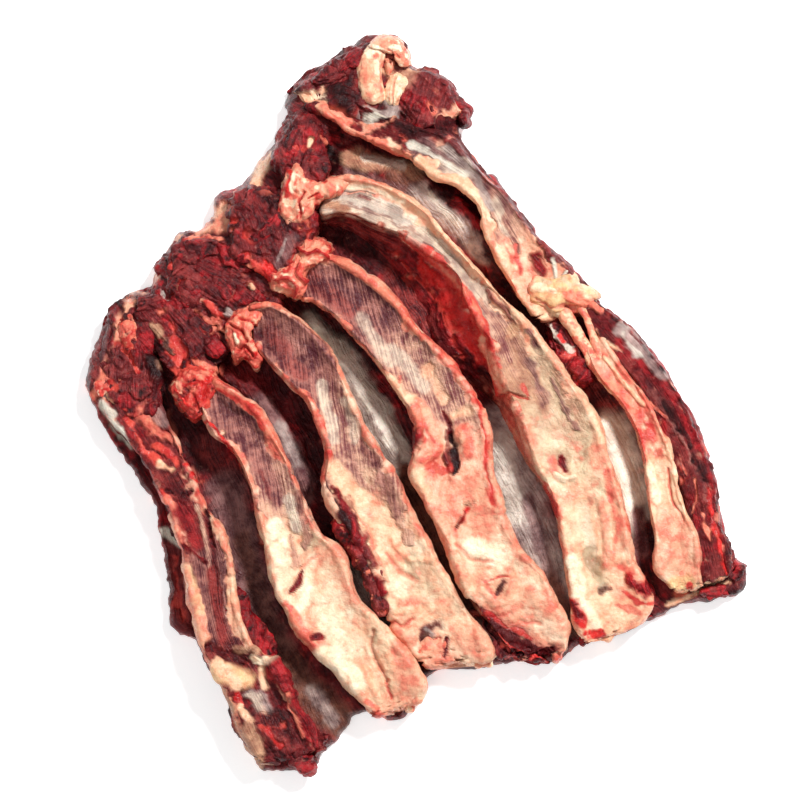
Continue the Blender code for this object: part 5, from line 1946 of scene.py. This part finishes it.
def make_fingers() -> list[Finger]:
    """Describes the fingers, from the left of the slab to the right."""
    first = Finger(
        "finger_1",
        traced("95,372 140,360 105,408 165,415 128,442 178,440 145,470 188,470 160,500 200,493 "
               "172,530 217,518 182,560 228,545 190,590 233,572 197,622 236,603 203,650 250,640 "
               "214,677 277,663 230,705 294,694 243,738 314,726 258,768 322,752"),
        (0.022, 0.029, 0.034, 0.035, 0.033, 0.026),
        top=(MEAT, ROSE, LEAN, LEAN, PLUM, PLUM, LEAN, MEAT, MEAT),
        left=(MEAT, CORAL, ROSE, SALMON, PEACH, PEACH, TAN, TAN),
        right=(MEAT, SALMON, CORAL, PEACH, CREAM, PEACH, MEAT, MEAT),
        left_wall=(MEAT, MAROON, MAROON), right_wall=(MAROON, DUSK, DUSK, UMBER),
        rims=(6, 7), dip=(0.06,), wobble=4.0, grain=True, grit=2.2,
    )
    second = Finger(
        "finger_2",
        traced("198,398 212,378 212,433 240,393 230,450 262,415 240,470 280,447 250,497 298,483 "
               "259,530 318,528 268,565 343,555 278,598 358,597 300,637 385,627 330,665 408,653 "
               "358,700 427,682 376,718 424,700"),
        (0.036, 0.040, 0.042, 0.040, 0.036, 0.027),
        top=(PLUM, PLUM, PLUM, LILAC, CREAM, CREAM, CREAM, CREAM, PEACH),
        left=(CORAL, BLOOD, CORAL, SALMON, CREAM, CREAM, PEACH, CREAM, PEACH),
        right=(CORAL, SALMON, SALMON, SALMON, PEACH, CREAM, CREAM, PEACH),
        left_wall=(MEAT, MAROON, MAROON, MAROON, SALMON, PEACH),
        right_wall=(ROSE, DUSK, ROSE, PEACH, CREAM, PEACH),
        rims=(7, 7), dip=(0.13, 0.13, 0.10, 0.05, 0.03), slant=0.2,
    )
    third = Finger(
        "finger_3",
        traced("252,340 245,309 264,355 270,303 285,382 303,322 305,402 330,355 318,430 350,392 "
               "326,457 368,427 321,482 388,462 332,508 404,493 352,540 421,527 372,572 440,562 "
               "384,604 459,597 398,634 480,623 424,670 498,663"),
        (0.038, 0.042, 0.043, 0.042, 0.038, 0.029),
        top=(PLUM, PLUM, PLUM, LILAC, LILAC, CREAM, CREAM, CREAM, PEACH),
        left=(CORAL, CORAL, SALMON, CORAL, SALMON, CREAM, PEACH, PEACH, PEACH),
        right=(SALMON, PEACH, PEACH, PEACH, SALMON, PEACH, PEACH, CREAM, PEACH),
        # Painted shade: part of the left wall, which faces away from the key light, is painted
        # near-black.
        left_wall=(MAROON, MAROON, BLACK, MAROON, CRIMSON, MEAT),
        right_wall=(SLATE, SILVER, SLATE, UMBER, TAN, PEACH),
        rims=(7, 5), dip=(0.13, 0.13, 0.11, 0.06, 0.03), slant=0.14,
    )
    fourth = Finger(
        "finger_4",
        traced("300,300 303,258 318,303 330,256 340,324 360,269 360,347 393,297 379,371 420,328 "
               "398,398 450,358 414,425 474,392 418,447 487,425 410,472 491,462 424,502 500,502 "
               "441,537 520,546 454,570 545,572 468,600 558,598 494,638 568,625 520,664 570,653"),
        (0.040, 0.043, 0.044, 0.042, 0.038, 0.028),
        top=(PLUM, PLUM, PLUM, LILAC, LILAC, PEACH, PEACH, CREAM, PEACH, PEACH),
        left=(SALMON, SALMON, SALMON, PEACH, SALMON, PEACH, PEACH, PEACH, SALMON, CORAL),
        right=(SALMON, PEACH, SALMON, CORAL, CORAL, SALMON, PEACH, PEACH, PEACH),
        # Painted shade: part of the left wall, which faces away from the key light, is painted
        # near-black.
        left_wall=(MAROON, BLACK, MAROON, MEAT, PEACH, PEACH, TAN),
        right_wall=(MEAT, LEAN, LEAN, MEAT, SLATE, TAN, TAN),
        rims=(5, 8), dip=(0.12, 0.12, 0.08, 0.03, 0.02), slant=0.28,
    )
    fifth = Finger(
        "finger_5",
        traced("318,216 320,182 345,213 352,176 375,226 388,186 403,238 420,207 428,254 443,231 "
               "455,274 468,259 467,302 492,285 487,335 520,315 495,365 545,345 508,396 575,383 "
               "521,430 600,423 535,468 613,462 551,502 627,508 560,540 633,545 566,582 642,575 "
               "574,622 654,604 584,646 640,628"),
        (0.042, 0.044, 0.045, 0.043, 0.038, 0.028),
        top=(PEARL, PEARL, PEARL, PEARL, LILAC, TAN, HUSK, CREAM, CREAM, CREAM),
        left=(TAN, LEAN, CORAL, BLOOD, BLOOD, SALMON, PEACH, SALMON, CREAM, IVORY),
        right=(PEACH, PEACH, CREAM, PEACH, CREAM, PEACH, CREAM, PEACH, PEACH, PEACH),
        left_wall=(MAROON, LEAN, CRIMSON, CRIMSON, MAROON, SALMON, TAN, SLATE, TAN),
        right_wall=(DUSK, SLATE, SLATE, MAROON, MAROON, CREAM, SALMON, MEAT),
        rims=(4, 13), dip=(0.11, 0.11, 0.09, 0.06, 0.06), lean=(10, 30, 62, 70, 24, 4, 0, 0),
        wobble=2.0, grain=True, grit=1.6, reach=0.15,
    )
    upper = Finger(
        "finger_6_upper",
        traced("310,103 338,92 345,126 368,108 376,143 400,122 403,156 430,131 432,178 456,144 "
               "463,190 478,168 480,212 502,192 488,237 524,222 500,265 544,246 516,294 572,272 "
               "540,326 596,310"),
        (0.032, 0.038, 0.041, 0.040, 0.037, 0.030),
        top=(MEAT, MEAT, MEAT, DUSK, PEARL, PLUM, LILAC, PEACH, PEACH, PEACH),
        left=(PEACH, SALMON, PEACH, CREAM, CREAM, CREAM, CREAM, CREAM, PEACH),
        right=(MEAT, MEAT, MAROON, MEAT, DUSK, MEAT, ROSE, MEAT, PEACH),
        left_wall=(MAROON, MAROON, MEAT, MAROON, MAROON),
        right_wall=(MEAT, MEAT, MEAT), rims=(11, 5), dip=(0.05,), wobble=3.0, grain=True,
        grit=1.6,
    )
    lower = Finger(
        "finger_6_lower",
        traced("585,345 600,335 597,372 618,362 622,405 643,393 635,432 658,425 643,462 674,462 "
               "647,500 683,500 654,540 698,538 658,570 700,568 676,592 703,587"),
        (0.032, 0.038, 0.040, 0.038, 0.034, 0.026),
        top=(SALMON, SALMON, SALMON, CORAL, CREAM, CREAM, PEACH, PEACH, CREAM),
        left=(SALMON, SALMON, CORAL, CORAL, CREAM, PEACH, PEACH),
        right=(SALMON, PEACH, SALMON, CREAM, CREAM, SALMON, PEACH),
        left_wall=(MAROON, CREAM, TAN, TAN), right_wall=(MEAT, MEAT, MEAT),
        rims=(5, 5), dip=(0.04,), grain=True, wobble=2.0,
    )
    border = Finger(
        "border_muscle",
        traced("430,108 452,100 436,130 458,138 452,146 480,172 482,178 505,196 505,208 532,230 "
               "530,244 560,262 560,285 592,296 588,320 630,330 612,352 662,366 642,395 690,412 "
               "660,436 709,460 676,480 718,492 688,525 724,530 696,562 731,558 702,584 730,577"),
        (0.024, 0.026, 0.029, 0.032, 0.031, 0.024),
        top=(MEAT, MAROON, MEAT, MEAT, MEAT, CRIMSON, MEAT, MEAT, CRIMSON, MEAT),
        left=(MEAT, MEAT), right=(MAROON, MEAT, MAROON, MEAT),
        dip=(-0.10,), wobble=2.4, grain=True, grit=2.0, rims=(4, 5),
    )
    return [first, second, third, fourth, fifth, upper, lower, border]


LOBE_CORNERS = 9
LOBE_REACH = (0.6, 1.35)  # how far the corners stand out, as a share of the lobe's size
LOBE_RISE = 1.8  # how much the relief adds to a lobe's top, in millimetres
# Middle, half length and half width in plan steps, turn in degrees, top in millimetres, tissue.
LOBES = [
    ((296, 146), (17, 12), 70, 43.5, MEAT), ((314, 168), (12, 17), 0, 43.0, MEAT),
    ((284, 160), (12, 9), 100, 43.0, ROSE), ((248, 204), (16, 10), 60, 43.5, MEAT),
    ((266, 232), (22, 12), 60, 43.5, CRIMSON), ((292, 212), (15, 11), 20, 43.0, CRIMSON),
    ((250, 254), (13, 9), 30, 42.0, MEAT), ((184, 260), (16, 10), 40, 37.0, ROSE),
    ((206, 250), (15, 10), 10, 36.5, MEAT), ((234, 260), (20, 12), -30, 37.0, CRIMSON),
    ((212, 286), (20, 11), -40, 36.5, MEAT), ((246, 296), (16, 11), -40, 37.0, CRIMSON),
    ((190, 290), (12, 8), -40, 36.0, ROSE), ((150, 302), (14, 8), 20, 33.0, ROSE),
    ((178, 302), (13, 9), 0, 33.0, CRIMSON), ((200, 326), (16, 10), -40, 33.0, MEAT),
    ((214, 346), (13, 9), -50, 33.0, CRIMSON), ((118, 366), (14, 11), 80, 31.0, ROSE),
    ((140, 386), (14, 13), 90, 31.0, ROSE), ((104, 386), (9, 7), 90, 29.0, CORAL),
    ((330, 76), (18, 10), 30, 34.5, MEAT), ((352, 60), (16, 9), 40, 35.0, CRIMSON),
    ((463, 120), (8, 5), -60, 30.0, MEAT), ((412, 702), (9, 7), 40, 25.0, CREAM),
    ((398, 712), (8, 6), 0, 19.0, MEAT), ((436, 662), (12, 6), 20, 24.0, PEACH),
    ((484, 660), (10, 7), -10, 26.0, PEACH), ((556, 652), (9, 8), 20, 26.0, SALMON),
    ((528, 656), (12, 7), -20, 21.0, CRIMSON), ((584, 640), (7, 6), 30, 25.0, CRIMSON),
    ((606, 634), (11, 6), 10, 24.0, CREAM), ((640, 616), (11, 7), 20, 24.0, ROSE),
    ((716, 592), (12, 7), 10, 19.0, CRIMSON), ((738, 576), (9, 8), 60, 17.0, MEAT),
    ((300, 762), (14, 8), 0, 24.0, CRIMSON), ((320, 744), (8, 10), 0, 22.0, MEAT),
]  # fmt: skip


def knob(
    name: str, outline: list[Pair], top: float, base: Paint, patches: Cover,
    wrinkle: float = 2.6,
) -> Flap:
    """Describes a lumpy knob of fat, as a small flap with fine wrinkles."""
    return Flap(
        name, outline, top, 0.35, base, patches, grit=2.0, wrinkle=wrinkle, segments=(150, 84),
    )


def make_lobes() -> list[Flap]:
    """Describes the small torn lobes that break up the flaps and the cut ends."""
    torn = ((Paint.MAROON, 0.25), (Paint.ROSE, 0.3), (Paint.CRIMSON, 0.3))
    fatty = ((Paint.PEACH, 0.35), (Paint.SALMON, 0.3), (Paint.IVORY, 0.2))
    dice = np.random.default_rng(5)
    lobes = []
    for index, (middle, size, turn, top, base) in enumerate(LOBES):
        angle = np.linspace(0, 2 * math.pi, LOBE_CORNERS + 1)[:-1]
        reach = dice.uniform(*LOBE_REACH, LOBE_CORNERS)
        across, up = size[0] * reach * np.cos(angle), size[1] * reach * np.sin(angle)
        lean = math.radians(turn)
        plan = np.stack([
            middle[0] + across * math.cos(lean) - up * math.sin(lean),
            middle[1] - across * math.sin(lean) - up * math.cos(lean),
        ], axis=1)
        patches = fatty if base.value[2] is Kind.FAT else torn
        lobes.append(Flap(
            f"lobe_{index + 1}", [tuple(point) for point in plan], (top - LOBE_RISE) * MM, 0.10,
            base, patches, edge=0.9, turn=turn, grit=2.0, wrinkle=2.0, segments=(70, 38),
        ))
    return lobes


def make_flaps() -> list[Flap]:
    """Describes the torn flaps and pads."""
    return [
        Flap(
            "flap_top",
            traced("290,92 312,74 350,52 380,38 404,46 410,66 436,76 456,95 458,120 432,132 "
                   "392,130 345,124 306,112"),
            top=0.031, fall=0.35, turn=70,
        ),
        Flap(
            "flap_5",
            traced("276,142 290,122 312,120 326,142 327,168 320,190 314,210 292,222 279,205 "
                   "282,182 273,162"),
            top=0.041, fall=0.30, turn=80,
        ),
        Flap(
            "flap_4",
            traced("234,192 262,186 288,190 308,206 316,230 306,254 296,276 276,286 258,270 "
                   "238,262 232,228"),
            top=0.041, fall=0.20, edge=0.8, turn=110,
        ),
        Flap(
            "flap_3",
            traced("158,268 178,242 205,236 240,238 262,256 284,286 272,306 256,318 240,338 "
                   "216,328 194,308 174,294"),
            top=0.033, fall=0.20, edge=0.8, turn=150,
        ),
        Flap(
            "flap_2",
            traced("130,312 146,292 178,286 205,304 234,330 238,350 222,366 208,384 186,388 "
                   "170,372 148,345"),
            top=0.029, fall=0.22, turn=130,
        ),
        Flap(
            "flap_1",
            traced("94,375 100,345 112,312 134,300 148,325 156,360 162,400 140,420 112,408"),
            top=0.027, fall=0.28, turn=90,
        ),
        Flap(
            "fat_pad",
            traced("522,286 534,274 550,280 566,272 582,282 598,296 588,308 570,306 556,318 "
                   "540,306 526,300"),
            top=0.038, fall=0.55, base=OCHRE,
            patches=((CREAM, 0.3), (HUSK, 0.35), (PEACH, 0.35)), wrinkle=2.4,
        ),
        knob(
            "loop_left", traced("360,54 370,43 382,42 387,52 383,66 383,82 386,96 378,106 366,105 "
                                "358,90 356,70"),
            top=0.036, base=CREAM, patches=((PEACH, 0.35), (IVORY, 0.35), (SALMON, 0.08)),
            wrinkle=0.6,
        ),
        knob(
            "loop_top", traced("366,46 380,37 396,38 408,50 410,66 401,68 397,57 384,52"),
            top=0.037, base=PEACH, patches=((IVORY, 0.3), (SALMON, 0.35)), wrinkle=1.0,
        ),
        knob(
            "loop_lobe", traced("388,73 400,71 410,80 405,94 397,107 388,105 383,90"),
            top=0.0345, base=CREAM, patches=((IVORY, 0.5), (PEACH, 0.2)), wrinkle=0.6,
        ),
        knob(
            "loop_core", traced("384,58 391,56 395,64 393,76 386,78"),
            top=0.034, base=PEACH, patches=((SALMON, 0.4), (ROSE, 0.3)),
        ),
        knob(
            "tongue", traced("284,170 294,162 304,171 316,182 334,177 350,180 344,192 328,198 "
                             "315,204 309,217 296,227 283,224 276,208 280,190"),
            top=0.046, base=PEACH, patches=((SALMON, 0.4), (CORAL, 0.3), (IVORY, 0.2)),
        ),
        knob(
            "knob_4", traced("298,246 308,237 322,238 334,247 330,257 314,265 305,276 306,290 "
                             "298,300 286,298 273,292 267,280 276,270 288,266 294,257"),
            top=0.045, base=SALMON, patches=((PEACH, 0.45), (CORAL, 0.3), (IVORY, 0.12)),
        ),
        knob(
            "knob_3", traced("236,308 252,303 264,309 260,322 252,334 258,348 263,364 254,369 "
                             "244,360 236,364 231,350 225,336 228,320"),
            top=0.040, base=SALMON,
            patches=((CORAL, 0.32), (PEACH, 0.35), (IVORY, 0.15), (BLOOD, 0.1)),
        ),
        knob(
            "knob_2", traced("174,378 184,367 200,364 214,372 220,384 212,398 208,412 198,421 "
                             "186,414 176,400 170,388"),
            top=0.037, base=CORAL,
            patches=((SALMON, 0.35), (BLOOD, 0.25), (PEACH, 0.15), (ROSE, 0.2)),
        ),
        knob(
            "knob_1", traced("120,318 130,312 136,326 136,344 128,352 119,342 117,328"),
            top=0.031, base=SALMON, patches=((CORAL, 0.35), (PEACH, 0.3), (ROSE, 0.2)),
        ),
        Flap(
            "torn_lobe",
            traced("545,322 560,322 580,345 590,370 584,384 570,380 552,352"),
            top=0.028, fall=0.35,
        ),
        Flap(
            "tail_muscle",
            traced("470,612 488,618 505,632 535,650 546,662 520,660 498,656 482,640"),
            top=0.024, fall=0.35,
        ),
    ]


def make_strands() -> list[Strand]:
    """Describes the strands, strips and curls."""
    return [
        Strand("strand_1", traced("552,298 572,324 588,352 606,378 634,404"),
               (6, 7, 7, 8), (0.0278,), (PEACH, SALMON, SALMON), ((CREAM, 0.45),), lumps=0.9),
        Strand("strand_2", traced("578,300 590,328 600,356 622,384"),
               (4, 4.5, 5), (0.0292,), (SALMON, PEACH), ((CREAM, 0.4),), lumps=0.8),
        Strand("ragged_strip", traced("332,488 344,516 358,546 374,580 384,612"),
               (6, 11, 12, 10, 7), (0.031,), (CRIMSON, CRIMSON, ROSE, ROSE),
               ((SALMON, 0.15), (MAROON, 0.25)), lumps=3.0),
        Strand("red_lump", traced("228,584 238,610 254,634 272,662"),
               (10, 13, 12, 8), (0.024,), (CRIMSON,), ((MAROON, 0.3), (ROSE, 0.15)), lumps=2.4),
        Strand("tail_curl", traced("416,654 426,649 440,643 450,640"),
               (9, 10, 8), (0.024,), (PEACH,), ((SALMON, 0.3),)),
    ]


def main() -> None:
    """Builds every piece and the studio."""
    logging.basicConfig(level=logging.INFO, format="%(name)s %(message)s")
    meat, under = MeatFinish().build(), UndersideFinish().build()
    make_sheet().build(meat, under)
    for form in (*make_fingers(), *make_flaps(), *make_lobes(), *make_strands()):
        form.build(meat)
    Studio().build()


if __name__ == "__main__":
    main()
